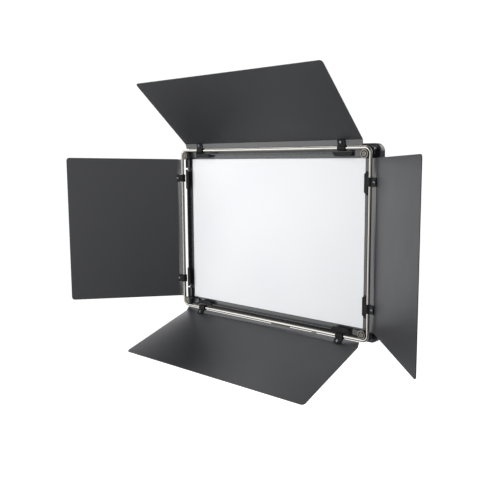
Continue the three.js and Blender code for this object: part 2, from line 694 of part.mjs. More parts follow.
function buildClipScrew(x) {
  const seat = SHEET / 2 + GAP + CLIP_TAB_THICK + GAP;
  const made = turned(
    [
      [0, -SHEET],
      [CLIP_SCREW_SHANK, -SHEET],
      [CLIP_SCREW_SHANK, seat],
      [CLIP_SCREW_HEAD, seat],
      [CLIP_SCREW_HEAD, seat + CLIP_SCREW_RISE / 2],
      [CLIP_SCREW_HEAD * CLIP_SCREW_EDGE, seat + CLIP_SCREW_RISE],
      [0, seat + CLIP_SCREW_RISE],
    ],
    SMALL_SIDES,
  );
  const slot = box(CLIP_SCREW_HEAD, CLIP_SLOT_WIDE, 2 * CLIP_SLOT_DEEP, 0, 0, seat + CLIP_SCREW_RISE);
  return cut(made, slot).translate([x, CLIP_SCREW_AT, 0]).rotate([-LIP_BEND_DEG, 0, 0]);
}

// The saddle's frame is the side's, with y measured outward from the window's edge.
function buildSaddle(x) {
  const half = SADDLE_LENGTH / 2;
  const saddleOuter = RIM_OUT + SADDLE_OVERHANG;
  const shape = new THREE.Shape();
  shape.moveTo(-half, saddleOuter);
  shape.lineTo(-half, SADDLE_INNER + SADDLE_TAPER);
  shape.lineTo(-half + SADDLE_TAPER, SADDLE_INNER);
  shape.lineTo(half - SADDLE_TAPER, SADDLE_INNER);
  shape.lineTo(half, SADDLE_INNER + SADDLE_TAPER);
  shape.lineTo(half, saddleOuter);
  shape.closePath();
  const low = RIM_RISE + GAP;
  const top = slab(shape, low, low + SADDLE_THICK);
  const skirtY = BEZEL_LIP - GAP - SADDLE_THICK / 2;
  const skirtLong = SADDLE_LENGTH - 2 * SADDLE_TAPER;
  const skirtHigh = SADDLE_SKIRT + SADDLE_SINK;
  const skirt = box(skirtLong, SADDLE_THICK, skirtHigh, 0, skirtY, low + SADDLE_SINK - skirtHigh / 2);
  return join(top, skirt).translate([x, 0, 0]);
}

const longSide = {
  span: WINDOW_W,
  leafLength: LONG_LEAF_LENGTH,
  overhang: LONG_LEAF_OVERHANG,
  splay: LONG_LEAF_SPLAY,
};
const shortSide = {
  span: WINDOW_H,
  leafLength: SHORT_LEAF_LENGTH,
  overhang: SHORT_LEAF_OVERHANG,
  splay: SHORT_LEAF_SPLAY,
};
const sides = [
  { name: "top", turn: 0, edge: WINDOW_H / 2, ...longSide },
  { name: "left", turn: 90, edge: WINDOW_W / 2, ...shortSide },
  { name: "bottom", turn: 180, edge: WINDOW_H / 2, ...longSide },
  { name: "right", turn: 270, edge: WINDOW_W / 2, ...shortSide },
];
for (const side of sides) {
  const clipX = side.span / 2 - CLIP_FROM_CORNER;
  side.clipAt = [-clipX, clipX];
  const frame = new THREE.Group();
  frame.rotation.z = radians(side.turn);
  face.add(frame);
  const hinge = new THREE.Group();
  hinge.position.set(0, side.edge + ROD_OUT, ROD_FORWARD);
  hinge.rotation.x = radians(LEAF_REST_DEG[side.name]);
  frame.add(hinge);
  addMesh(hinge, "leaf_" + side.name, buildLeaf(side), leafPaint());
  side.clipAt.forEach((x, i) => {
    const label = side.name + "_" + (i + 1);
    addMesh(hinge, "hinge_clip_" + label, buildClip(x), blackPlastic());
    addMesh(hinge, "clip_screw_" + label, buildClipScrew(x), steel());
    const saddleX = x - Math.sign(x) * SADDLE_SHIFT;
    const saddle = addMesh(frame, "rim_saddle_" + label, buildSaddle(saddleX), blackPlastic());
    saddle.position.y = side.edge;
  });
}

// ---------- control box ----------
const BOX_BACK = ON_COVER - BOX_DEEP;
const FASCIA_FRONT = BOX_BACK;
const FASCIA_BACK = FASCIA_FRONT - FASCIA_THICK;
const throughBack = (shape) => slab(shape, FASCIA_BACK - OVERCUT, BOX_BACK + BOX_WALL + OVERCUT);
const roundHole = (radius, x, y) =>
  bar(radius, 2 * FASCIA_THICK + 2 * BOX_WALL, "z", x, y, BOX_BACK);
const rockerHoleW = ROCKER_W + 2 * SHAFT_PLAY;
const rockerHoleH = ROCKER_H + 2 * SHAFT_PLAY;
const shaftHoles = () => [
  roundHole(DIAL_SHAFT + SHAFT_PLAY, DIAL_X, BOX_Y + DIAL_Y),
  roundHole(DIAL_SHAFT + SHAFT_PLAY, -DIAL_X, BOX_Y + DIAL_Y),
  roundHole(BUTTON_SHANK + SHAFT_PLAY, BUTTON_X, BOX_Y + BUTTON_Y),
  roundHole(BUTTON_SHANK + SHAFT_PLAY, -BUTTON_X, BOX_Y + BUTTON_Y),
  throughBack(roundedRectangle(rockerHoleW, rockerHoleH, ROCKER_HOLE_CORNER, 0, BOX_Y + ROCKER_Y)),
];

const SOCKET_Z = ON_COVER - BOX_DEEP / 2;
const BOX_FOOT = BOX_Y - BOX_H / 2;

function buildControlBox() {
  const block = chamferedBlock(BOX_W, BOX_H, BOX_CORNER, BOX_BACK, ON_COVER + BOX_SPARE, BOX_CHAMFER);
  const outer = block.translate([0, BOX_Y, 0]);
  const trimW = BOX_W + 2 * OVERCUT;
  const trimH = BOX_H + 2 * OVERCUT;
  const trim = box(trimW, trimH, 2 * BOX_SPARE, 0, BOX_Y, ON_COVER + BOX_SPARE);
  const innerW = BOX_W - 2 * BOX_WALL;
  const innerH = BOX_H - 2 * BOX_WALL;
  const inner = plate(innerW, innerH, BOX_CORNER - BOX_WALL, BOX_BACK + BOX_WALL, 0, 0, BOX_Y);
  const inlet = bar(SOCKET_RADIUS + GAP, 3 * BOX_WALL, "y", -SOCKET_X, BOX_FOOT, SOCKET_Z);
  const port = box(PORT_W + 2 * GAP, 3 * BOX_WALL, PORT_H + 2 * GAP, SOCKET_X, BOX_FOOT, SOCKET_Z);
  const fasciaW = BOX_W - 2 * FASCIA_BORDER;
  const fasciaH = BOX_H - 2 * FASCIA_BORDER;
  const fascia = plate(fasciaW, fasciaH, FASCIA_CORNER, FASCIA_BACK, FASCIA_FRONT + BOX_WALL / 2, 0, BOX_Y);
  const screenY = BOX_Y + DISPLAY_Y;
  const screen = plate(DISPLAY_W, DISPLAY_H, DISPLAY_CORNER, FASCIA_BACK - OVERCUT, FASCIA_FRONT, 0, screenY);
  const caps = [BUTTON_X, -BUTTON_X].map((x) =>
    bar(BUTTON_RADIUS + SHAFT_PLAY, 2 * FASCIA_THICK, "z", x, BOX_Y + BUTTON_Y, FASCIA_BACK),
  );
  const shell = cut(outer, trim, inner, inlet, port);
  return cut(join(shell, fascia), screen, ...caps, ...shaftHoles());
}

addMesh(face, "control_box", buildControlBox(), blackPlastic());

function buildScreen() {
  const width = DISPLAY_W - 2 * GAP;
  const height = DISPLAY_H - 2 * GAP;
  const corner = DISPLAY_CORNER - GAP;
  return plate(width, height, corner, FASCIA_BACK + GAP, FASCIA_FRONT - GAP, 0, BOX_Y + DISPLAY_Y);
}

addMesh(face, "display_window", buildScreen(), glossPlastic());

function buildDriver() {
  const front = ON_COVER - DRIVER_STANDOFF;
  const back = front - BOARD_THICK;
  const board = plate(DRIVER_W, DRIVER_H, DRIVER_CORNER, back, front, 0, BOX_Y + DRIVER_UP);
  const standing = (deep) => back + DRIVER_SINK - deep / 2;
  const transformerY = BOX_Y + TRANSFORMER_UP;
  const transformerZ = standing(TRANSFORMER_DEEP);
  const pieces = [
    board,
    box(TRANSFORMER_W, TRANSFORMER_H, TRANSFORMER_DEEP, TRANSFORMER_X, transformerY, transformerZ),
    bar(CHOKE_RADIUS, CHOKE_DEEP, "z", CHOKE_X, BOX_Y + CHOKE_UP, standing(CHOKE_DEEP)),
  ];
  const capacitorZ = standing(2 * CAPACITOR_RADIUS);
  for (let i = 0; i < CAPACITOR_COUNT; i++) {
    const x = CAPACITOR_X + i * CAPACITOR_PITCH;
    const y = BOX_Y + CAPACITOR_UP;
    pieces.push(bar(CAPACITOR_RADIUS, CAPACITOR_LONG, "y", x, y, capacitorZ, SMALL_SIDES));
  }
  return join(...pieces);
}

addMesh(face, "driver_board", buildDriver(), boardGreen());

// The dials stand on the fascia and turn about their own shafts.
function buildDial() {
  const low = -DIAL_HIGH;
  const shaftEnd = FASCIA_THICK + BOX_WALL + SHAFT_REACH;
  const body = turned([
    [0, low],
    [DIAL_RADIUS - DIAL_EDGE, low],
    [DIAL_RADIUS, low + DIAL_EDGE],
    [DIAL_RADIUS, 0],
    [DIAL_SHAFT, 0],
    [DIAL_SHAFT, shaftEnd],
    [0, shaftEnd],
  ], FINE_SIDES);
  const flutes = [];
  const reach = DIAL_RADIUS + FLUTE_OUT;
  const fluteLong = DIAL_HIGH - FLUTE_FROM_TOP - FLUTE_FROM_FOOT;
  const fluteZ = -FLUTE_FROM_FOOT - fluteLong / 2;
  for (let i = 0; i < DIAL_FLUTES; i++) {
    const angle = (i / DIAL_FLUTES) * FULL_TURN;
    const x = reach * Math.cos(angle);
    const y = reach * Math.sin(angle);
    flutes.push(bar(FLUTE_RADIUS, fluteLong, "z", x, y, fluteZ, HEX));
  }
  const pointer = box(POINTER_WIDE, DIAL_RADIUS, 2 * POINTER_DEEP, 0, DIAL_RADIUS / 2, low);
  return cut(body, ...flutes, pointer);
}

for (const [name, sx] of [["brightness_dial", -1], ["colour_dial", 1]]) {
  const dial = addMesh(face, name, buildDial(), blackPlastic());
  dial.position.set(sx * DIAL_X, BOX_Y + DIAL_Y, FASCIA_BACK - GAP);
}

function buildButton() {
  const capFace = FASCIA_BACK - BUTTON_PROUD;
  const capInner = BOX_BACK - BUTTON_TRAVEL - BUTTON_SPARE;
  const shankEnd = BOX_BACK + BOX_WALL + BUTTON_REACH;
  return turned([
    [0, capFace],
    [BUTTON_RADIUS - BUTTON_EDGE, capFace],
    [BUTTON_RADIUS, capFace + BUTTON_EDGE],
    [BUTTON_RADIUS, capInner],
    [BUTTON_SHANK, capInner],
    [BUTTON_SHANK, shankEnd],
    [0, shankEnd],
  ]);
}

for (const [name, sx] of [["mode_button", -1], ["menu_button", 1]]) {
  const button = addMesh(face, name, buildButton(), blackPlastic());
  button.position.set(sx * BUTTON_X, BOX_Y + BUTTON_Y, 0);
}

// A shallow V seen from the side, which rocks about x.
function buildRocker() {
  const slope = Math.tan(radians(ROCKER_SLOPE_DEG));
  const half = ROCKER_H / 2;
  const shape = new THREE.Shape();
  shape.moveTo(-half, -ROCKER_PROUD - half * slope);
  shape.lineTo(0, -ROCKER_PROUD);
  shape.lineTo(half, -ROCKER_PROUD - half * slope);
  shape.lineTo(half * ROCKER_TAPER, ROCKER_DEEP);
  shape.lineTo(-half * ROCKER_TAPER, ROCKER_DEEP);
  shape.closePath();
  return slab(shape, -ROCKER_W / 2, ROCKER_W / 2).rotate([90, 0, 90]);
}

const rocker = addMesh(face, "power_rocker", buildRocker(), blackPlastic());
rocker.rotation.x = radians(ROCKER_SLOPE_DEG);
rocker.position.set(0, BOX_Y + ROCKER_Y, FASCIA_FRONT);

// ---------- inlet and data port under the control box ----------
const FLANGE_TOP = BOX_FOOT - GAP;
const FLANGE_MIDDLE = FLANGE_TOP - SOCKET_FLANGE_THICK / 2;
const FLANGE_FACE = FLANGE_TOP - SOCKET_FLANGE_THICK;
const FLANGE_W = 2 * (SOCKET_RADIUS + SOCKET_FLANGE);
const FLANGE_H = 2 * (SOCKET_RADIUS + SOCKET_FLANGE_HIGH);
const buildFlange = () => box(FLANGE_W, SOCKET_FLANGE_THICK, FLANGE_H, 0, FLANGE_MIDDLE, 0);

function buildInlet() {
  const barrel = bar(SOCKET_RADIUS, SOCKET_LONG, "y", 0, FLANGE_MIDDLE + SOCKET_LONG / 2, 0);
  const floor = FLANGE_FACE + SOCKET_DEEP;
  const boreLong = SOCKET_DEEP + OVERCUT;
  const bore = bar(SOCKET_BORE, boreLong, "y", 0, floor - boreLong / 2, 0);
  const pin = bar(SOCKET_PIN, SOCKET_DEEP, "y", 0, floor + OVERCUT - SOCKET_DEEP / 2, 0, SMALL_SIDES);
  return join(cut(join(buildFlange(), barrel), bore), pin).translate([-SOCKET_X, 0, SOCKET_Z]);
}

function buildPort() {
  const shroud = box(PORT_W, SOCKET_LONG, PORT_H, 0, FLANGE_MIDDLE + SOCKET_LONG / 2, 0);
  const mouthLong = PORT_DEEP + OVERCUT;
  const mouthY = FLANGE_FACE + PORT_DEEP - mouthLong / 2;
  const mouth = box(PORT_W - 2 * PORT_WALL, mouthLong, PORT_H - 2 * PORT_WALL, 0, mouthY, 0);
  return cut(join(buildFlange(), shroud), mouth).translate([SOCKET_X, 0, SOCKET_Z]);
}

addMesh(face, "power_inlet", buildInlet(), blackPlastic());
addMesh(face, "data_port", buildPort(), steel());

// ---------- battery plate and its release latch ----------
const PLATE_BACK = ON_COVER - PLATE_THICK;
const LATCH_X = PLATE_X + PLATE_W / 2 - LATCH_W / 2 - LATCH_FROM_SIDE;
const LATCH_Y = PLATE_Y + PLATE_H / 2 - LATCH_FROM_TOP;

function buildBatteryPlate() {
  const body = plate(PLATE_W, PLATE_H, PLATE_CORNER, PLATE_BACK, ON_COVER, PLATE_X, PLATE_Y);
  const top = PLATE_Y + PLATE_H / 2;
  const shape = new THREE.Shape();
  shape.moveTo(PLATE_X - WEDGE_TOP / 2, top + OVERCUT);
  shape.lineTo(PLATE_X - WEDGE_BOTTOM / 2, top - WEDGE_HIGH);
  shape.lineTo(PLATE_X + WEDGE_BOTTOM / 2, top - WEDGE_HIGH);
  shape.lineTo(PLATE_X + WEDGE_TOP / 2, top + OVERCUT);
  shape.closePath();
  const wedge = slab(shape, PLATE_BACK - OVERCUT, PLATE_BACK + WEDGE_DEEP);
  const slotW = LATCH_W + 2 * SHAFT_PLAY;
  const slotH = LATCH_H + LATCH_TRAVEL + 2 * SHAFT_PLAY;
  const slotY = LATCH_Y - LATCH_TRAVEL / 2;
  const slotShape = roundedRectangle(slotW, slotH, LATCH_SLOT_CORNER, LATCH_X, slotY);
  return cut(body, wedge, slab(slotShape, PLATE_BACK - OVERCUT, PLATE_BACK + LATCH_DEEP));
}

function buildLatch() {
  const top = PLATE_BACK - LATCH_PROUD;
  const shape = roundedRectangle(LATCH_W, LATCH_H, LATCH_CORNER, LATCH_X, LATCH_Y);
  const block = slab(shape, top, PLATE_BACK + LATCH_DEEP - SHAFT_PLAY);
  const grooveLong = LATCH_W - 2 * LATCH_GROOVE_END;
  const grooves = [-1, 0, 1].map((step) => {
    const y = LATCH_Y + step * LATCH_GROOVE_PITCH;
    return box(grooveLong, LATCH_GROOVE_WIDE, 2 * LATCH_GROOVE_DEEP, LATCH_X, y, top);
  });
  return cut(block, ...grooves);
}

addMesh(face, "battery_plate", buildBatteryPlate(), blackPlastic());
addMesh(face, "battery_release", buildLatch(), blackPlastic());

// ---------- rear bracket, tilt joint and stand socket ----------
const AXIS_Y = -TILT_BELOW;
const AXIS_Z = -STAND_BACK;
const EAR_INNER = KNUCKLE_HALF + GAP;

function buildSpine() {
  const low = AXIS_Y - EAR_RADIUS;
  const middle = (SPINE_TOP + low) / 2;
  const strapHigh = SPINE_TOP - low;
  const strap = plate(SPINE_W, strapHigh, SPINE_CORNER, ON_COVER - SPINE_THICK, ON_COVER, 0, middle);
  const pieces = [strap];
  const holes = [];
  for (const sx of [-1, 1]) {
    const x = sx * (EAR_INNER + EAR_THICK / 2);
    const reach = ON_COVER - SPINE_THICK / 2 - AXIS_Z;
    pieces.push(bar(EAR_RADIUS, EAR_THICK, "x", x, AXIS_Y, AXIS_Z, FINE_SIDES));
    pieces.push(box(EAR_THICK, 2 * EAR_RADIUS, reach, x, AXIS_Y, AXIS_Z + reach / 2));
    const holeX = sx * (SPINE_W / 2 - SPINE_HOLE_IN);
    for (const down of [SPINE_HOLE_DOWN, SPINE_HOLE_DOWN + SPINE_HOLE_PITCH]) {
      holes.push(bar(SPINE_HOLE, 4 * SPINE_THICK, "z", holeX, SPINE_TOP - down, ON_COVER));
    }
  }
  // The strap is open between the ears, so the knuckle's neck swings clear of it.
  const reliefTop = AXIS_Y + EAR_RADIUS + SPINE_RELIEF;
  const reliefHigh = reliefTop - low + OVERCUT;
  const reliefY = reliefTop - reliefHigh / 2;
  const relief = box(2 * EAR_INNER, reliefHigh, 4 * SPINE_THICK, 0, reliefY, ON_COVER - SPINE_THICK);
  const pinHole = bar(TILT_PIN + PIN_PLAY, CROSS_HOLE, "x", 0, AXIS_Y, AXIS_Z);
  return cut(join(...pieces), relief, pinHole, ...holes);
}

addMesh(face, "rear_bracket", buildSpine(), blackPaint());

const EAR_OUTER = EAR_INNER + EAR_THICK;
const PIN_START = -(EAR_OUTER + GAP);
const PIN_END = EAR_OUTER + PIN_THREAD;

function buildTiltPin() {
  const shank = bar(TILT_PIN, PIN_END - PIN_START, "x", (PIN_END + PIN_START) / 2, 0, 0);
  const head = bar(PIN_HEAD, PIN_HEAD_HIGH, "x", PIN_START - PIN_HEAD_HIGH / 2, 0, 0, HEX);
  return join(shank, head);
}

const pin = addMesh(face, "tilt_pin", buildTiltPin(), steel());
pin.position.set(0, AXIS_Y, AXIS_Z);

// A hub that screws on the pin, with a handle to tighten it by.
function buildTiltLever() {
  const start = EAR_OUTER + GAP;
  const middle = start + LEVER_HUB_LONG / 2;
  const hub = bar(LEVER_HUB, LEVER_HUB_LONG, "x", middle, 0, 0);
  const handle = new THREE.ExtrudeGeometry(roundedRectangle(LEVER_W, LEVER_H, LEVER_CORNER), {
    steps: 8,
    curveSegments: 4,
    bevelEnabled: false,
    extrudePath: new THREE.QuadraticBezierCurve3(
      new THREE.Vector3(middle, 0, -LEVER_START),
      new THREE.Vector3(middle + LEVER_BEND_OUT, 0, -LEVER_LENGTH * LEVER_BEND),
      new THREE.Vector3(middle + LEVER_TIP_OUT, 0, -LEVER_LENGTH),
    ),
  });
  const holeStart = start - OVERCUT;
  const holeEnd = PIN_END + LEVER_END_PLAY;
  const hole = bar(TILT_PIN + PIN_PLAY, holeEnd - holeStart, "x", (holeEnd + holeStart) / 2, 0, 0);
  return cut(join(hub, solid(handle)), hole);
}

const lever = addMesh(face, "tilt_lock_lever", buildTiltLever(), blackPlastic());
lever.position.set(0, AXIS_Y, AXIS_Z);

// The socket piece is drawn in the world frame's directions, about the tilt axis: z up, y back.
function buildStandSocket() {
  const knuckle = bar(EAR_RADIUS - KNUCKLE_PLAY, 2 * KNUCKLE_HALF, "x", 0, 0, 0, FINE_SIDES);
  const neckHigh = BARREL_TOP + NECK_SINK;
  const neckW = 2 * (KNUCKLE_HALF - NECK_INSET);
  const neckD = 2 * (EAR_RADIUS - NECK_SLIM);
  const neck = box(neckW, neckD, neckHigh, 0, 0, -neckHigh / 2);
  const barrel = turned([
    [0, -BARREL_BOTTOM],
    [BARREL_RADIUS - BARREL_FOOT_EDGE, -BARREL_BOTTOM],
    [BARREL_RADIUS, -BARREL_BOTTOM + BARREL_FOOT_EDGE],
    [BARREL_RADIUS, -BARREL_TOP - BARREL_SHOULDER],
    [BARREL_RADIUS - BARREL_SHOULDER, -BARREL_TOP],
    [0, -BARREL_TOP],
  ], FINE_SIDES);
  const boreLong = SPIGOT_DEEP + OVERCUT;
  const boreMiddle = SPIGOT_DEEP - BARREL_BOTTOM - boreLong / 2;
  const bore = bar(SPIGOT_BORE, boreLong, "z", 0, 0, boreMiddle, FINE_SIDES);
  const pinHole = bar(TILT_PIN + PIN_PLAY, CROSS_HOLE, "x", 0, 0, 0);
  const clampZ = CLAMP_UP - BARREL_BOTTOM;
  const bossEnd = BARREL_RADIUS + CLAMP_BOSS_RISE;
  const bossLong = bossEnd - CLAMP_BOSS_START;
  const boss = bar(CLAMP_BOSS, bossLong, "y", 0, bossEnd - bossLong / 2, clampZ);
  const clampHoleLong = bossEnd + OVERCUT;
  const clampHole = bar(CLAMP_SHANK + PIN_PLAY, clampHoleLong, "y", 0, clampHoleLong / 2, clampZ);
  return cut(join(knuckle, neck, barrel, boss), bore, pinHole, clampHole);
}

const socket = addMesh(light, "stand_socket", buildStandSocket(), blackPaint());
socket.position.set(0, 0, BARREL_BOTTOM);

// A lobed knob on a screw that bears on the stand's spigot.
function buildClampKnob() {
  const start = BARREL_RADIUS + CLAMP_STANDOFF;
  const middle = start + CLAMP_KNOB_HIGH / 2;
  const grip = bar(CLAMP_KNOB, CLAMP_KNOB_HIGH, "y", 0, middle, 0, FINE_SIDES);
  const reach = CLAMP_KNOB + CLAMP_SCALLOP_OUT;
  const scallops = [];
  for (let i = 0; i < CLAMP_LOBES; i++) {
    const angle = (i / CLAMP_LOBES) * FULL_TURN;
    const x = reach * Math.cos(angle);
    const z = reach * Math.sin(angle);
    scallops.push(bar(CLAMP_SCALLOP, CLAMP_KNOB_HIGH + 2 * OVERCUT, "y", x, middle, z, MEDIUM_SIDES));
  }
  const tip = SPIGOT_BORE + CLAMP_TIP;
  const rear = start + CLAMP_SINK;
  const shank = bar(CLAMP_SHANK, rear - tip, "y", 0, (rear + tip) / 2, 0);
  return join(cut(grip, ...scallops), shank);
}

const clamp = addMesh(light, "stand_clamp_knob", buildClampKnob(), blackPlastic());
clamp.position.set(0, 0, CLAMP_UP);

export default light;
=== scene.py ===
# %% [markdown]
# # A flat LED light with four barn doors
# The panel is an opal window in a black metal housing. A chrome rod bent into a rectangle carries four
# sheet-metal leaves, and a control box, a battery plate and a tilting stand socket sit on the back.
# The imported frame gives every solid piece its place. This lesson finishes those pieces: it rounds their
# edges, adds the small parts that a frame has no room for, and gives each surface its real finish.

# %% Load the frame
import json
import math

import bmesh
import bpy
from mathutils import Matrix, Vector

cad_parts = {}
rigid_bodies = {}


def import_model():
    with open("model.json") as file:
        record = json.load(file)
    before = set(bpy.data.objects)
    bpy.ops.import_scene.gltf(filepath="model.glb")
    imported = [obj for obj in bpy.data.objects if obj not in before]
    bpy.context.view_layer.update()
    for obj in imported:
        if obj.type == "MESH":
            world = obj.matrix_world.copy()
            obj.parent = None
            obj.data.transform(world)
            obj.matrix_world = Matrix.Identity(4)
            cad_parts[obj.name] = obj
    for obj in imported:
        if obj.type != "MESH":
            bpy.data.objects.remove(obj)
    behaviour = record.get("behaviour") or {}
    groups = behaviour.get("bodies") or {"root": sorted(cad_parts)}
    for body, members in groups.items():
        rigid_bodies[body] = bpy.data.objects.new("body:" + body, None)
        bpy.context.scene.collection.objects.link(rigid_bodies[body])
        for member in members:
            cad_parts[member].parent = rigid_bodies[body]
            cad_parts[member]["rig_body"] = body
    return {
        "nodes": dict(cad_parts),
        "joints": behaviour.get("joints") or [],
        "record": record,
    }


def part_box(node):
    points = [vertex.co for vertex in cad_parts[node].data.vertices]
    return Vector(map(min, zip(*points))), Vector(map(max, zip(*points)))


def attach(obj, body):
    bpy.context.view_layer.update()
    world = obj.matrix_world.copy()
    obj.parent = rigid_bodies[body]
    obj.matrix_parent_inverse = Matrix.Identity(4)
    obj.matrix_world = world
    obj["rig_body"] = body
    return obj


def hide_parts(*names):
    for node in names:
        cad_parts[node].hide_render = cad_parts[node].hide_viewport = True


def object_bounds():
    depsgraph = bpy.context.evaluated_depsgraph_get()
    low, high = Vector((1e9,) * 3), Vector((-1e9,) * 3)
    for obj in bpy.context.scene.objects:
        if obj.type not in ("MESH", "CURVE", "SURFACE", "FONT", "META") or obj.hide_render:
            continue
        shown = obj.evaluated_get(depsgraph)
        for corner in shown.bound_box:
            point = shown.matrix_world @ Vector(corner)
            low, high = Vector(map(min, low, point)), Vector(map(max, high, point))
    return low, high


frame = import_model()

cad_low, cad_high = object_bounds()
slot_of = {part["node"]: part["material_slot"] for part in frame["record"]["subparts"]}
body_of_node = {node: obj["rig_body"] for node, obj in frame["nodes"].items()}

# %% [markdown]
# ## Units
# Blender measures in metres, and a maker thinks in millimetres. One constant turns one into the other,
# and pattern scales come from a real feature size through one function.

# %% Units
MM = 0.001


def per_metre(feature_mm):
    """The texture scale whose features are that many millimetres across."""
    return 1.0 / (feature_mm * MM)


print("a 2 mm grain has scale", per_metre(2))

# %% [markdown]
# ## Camera
# A 48 mm lens stands a little above and to the right of the panel. Its three directions are written
# out as they were surveyed, which is exact and needs no angles.

# %% Camera
diffuser_low, diffuser_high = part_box("diffuser_panel")
window_centre = Vector((0, diffuser_low.y - 0.3 * MM, (diffuser_low.z + diffuser_high.z) / 2))
CAMERA_FROM_WINDOW = Vector((0.82435, -0.95235, 0.14335))
CAMERA_RIGHT = Vector((0.73692, 0.67596, -0.00566))
CAMERA_AHEAD = Vector((-0.67065, 0.73002, -0.13155))

lens = bpy.data.cameras.new("studio_lens")
lens.lens = 48.0
lens.sensor_width = 36.0
lens.shift_y = -0.0036
lens.clip_start = 0.01
lens.clip_end = 60
camera = bpy.data.objects.new("studio_camera", lens)
bpy.context.scene.collection.objects.link(camera)
ahead = CAMERA_AHEAD.normalized()
right = (CAMERA_RIGHT - ahead * CAMERA_RIGHT.dot(ahead)).normalized()
up = right.cross(ahead)
turn = Matrix((right, up, -ahead)).transposed().to_4x4()
camera.matrix_world = Matrix.Translation(window_centre + CAMERA_FROM_WINDOW) @ turn
bpy.context.scene.camera = camera
print("camera at", [round(value, 3) for value in camera.matrix_world.translation])

# %% [markdown]
# ## Node helper
# A material is a small graph. One function adds a node, sets its values and makes its links: lower-case
# keys are the node's own settings, and any other key is an input socket's name or number.

# %% Node helper


def linear(hex_colour):
    """An sRGB hex colour as the linear colour that shaders use."""
    channels = [int(hex_colour[i : i + 2], 16) / 255 for i in (1, 3, 5)]
    return tuple(c / 12.92 if c <= 0.04045 else ((c + 0.055) / 1.055) ** 2.4 for c in channels) + (1.0,)


def add_node(tree, kind, settings=None, links=None):
    """Adds one node with its settings and its links."""
    node = tree.nodes.new(kind)
    for key, value in (settings or {}).items():
        if isinstance(key, str) and key.islower():
            setattr(node, key, value)
        else:
            node.inputs[key].default_value = value
    for key, source in (links or {}).items():
        tree.links.new(source, node.inputs[key])
    return node


def start_material(name, **settings):
    """A new material: its tree, its shader and the object's own coordinates."""
    material = bpy.data.materials.new(name)
    material.use_nodes = True
    tree = material.node_tree
    shader = tree.nodes["Principled BSDF"]
    for key, value in settings.items():
        shader.inputs[key.replace("_", " ")].default_value = value
    where = add_node(tree, "ShaderNodeTexCoord").outputs["Object"]
    return material, tree, shader, where


# A Mix node has float and colour sockets of the same names, so they are told apart by number.
MIX_FACTOR, FLOAT_A, FLOAT_B = 0, 2, 3
MIX_A, MIX_B, MIX_COLOUR = 6, 7, 2
# Most of a noise texture's values lie between these two.
NOISE_LOW, NOISE_HIGH = 0.3, 0.7
finishes = {}
print("helpers ready")

# %% [markdown]
# ## Powder coat
# The housing, brackets and rear bracket are powder coated: dry paint baked on, satin, with a fine
# orange-peel skin. The peel is under a millimetre on the real thing and is drawn at 1.6 mm so that it
# shows. A broad, faint change of tone stands for handling, and dust settles on faces that look up.

# %% Powder coat
material, tree, shader, where = start_material("powder_coat_satin_black", IOR=1.5)
peel = add_node(tree, "ShaderNodeTexNoise", {"Scale": per_metre(1.6), "Detail": 3.0}, {"Vector": where})
patch = add_node(tree, "ShaderNodeTexNoise", {"Scale": per_metre(55), "Detail": 4.0}, {"Vector": where})
tone = add_node(
    tree,
    "ShaderNodeMix",
    {"data_type": "RGBA", MIX_A: linear("#202124"), MIX_B: linear("#2b2c2f")},
    {"Factor": patch.outputs["Fac"]},
)
facing = add_node(tree, "ShaderNodeNewGeometry")
height = add_node(tree, "ShaderNodeSeparateXYZ", links={"Vector": facing.outputs["Normal"]})
dust = add_node(
    tree,
    "ShaderNodeMapRange",
    {"From Min": 0.6, "From Max": 1.0, "To Min": 0.0, "To Max": 0.12},
    {"Value": height.outputs["Z"]},
)
dusty = add_node(
    tree,
    "ShaderNodeMix",
    {"data_type": "RGBA", MIX_B: linear("#6d6b68")},
    {"Factor": dust.outputs["Result"], MIX_A: tone.outputs[MIX_COLOUR]},
)
gloss = add_node(
    tree,
    "ShaderNodeMapRange",
    {"From Min": NOISE_LOW, "From Max": NOISE_HIGH, "To Min": 0.24, "To Max": 0.36},
    {"Value": peel.outputs["Fac"]},
)
skin = add_node(
    tree, "ShaderNodeBump", {"Strength": 0.22, "Distance": 0.12 * MM}, {"Height": peel.outputs["Fac"]}
)
tree.links.new(dusty.outputs[MIX_COLOUR], shader.inputs["Base Color"])
tree.links.new(gloss.outputs["Result"], shader.inputs["Roughness"])
tree.links.new(skin.outputs["Normal"], shader.inputs["Normal"])
finishes["black_powder_coat"] = material
print(material.name)

# %% [markdown]
# ## Leaf paint
# The leaves are thin sheet steel with a flat black paint that kills stray light. A flat paint still
# shines a little at low angles. It carries broad, faint wipe marks, which are noise stretched a little
# along one direction, and a fine spray grain.

# %% Leaf paint
material, tree, shader, where = start_material("flat_black_paint_on_sheet_steel", IOR=1.68)
stretched = add_node(tree, "ShaderNodeMapping", {"Scale": (0.8, 0.8, 0.6)}, {"Vector": where})
wipes = add_node(
    tree,
    "ShaderNodeTexNoise",
    {"Scale": per_metre(45), "Detail": 3.0, "Roughness": 0.5},
    {"Vector": stretched.outputs["Vector"]},
)
grain = add_node(tree, "ShaderNodeTexNoise", {"Scale": per_metre(1.6), "Detail": 3.0}, {"Vector": where})
tone = add_node(
    tree,
    "ShaderNodeMix",
    {"data_type": "RGBA", MIX_A: linear("#1a1b1f"), MIX_B: linear("#222328")},
    {"Factor": wipes.outputs["Fac"]},
)
gloss = add_node(
    tree,
    "ShaderNodeMapRange",
    {"From Min": 0.3, "From Max": 0.72, "To Min": 0.4, "To Max": 0.44},
    {"Value": wipes.outputs["Fac"]},
)
skin = add_node(
    tree, "ShaderNodeBump", {"Strength": 0.15, "Distance": 0.06 * MM}, {"Height": grain.outputs["Fac"]}
)
tree.links.new(tone.outputs[MIX_COLOUR], shader.inputs["Base Color"])
tree.links.new(gloss.outputs["Result"], shader.inputs["Roughness"])
tree.links.new(skin.outputs["Normal"], shader.inputs["Normal"])
finishes["black_leaf_paint"] = material
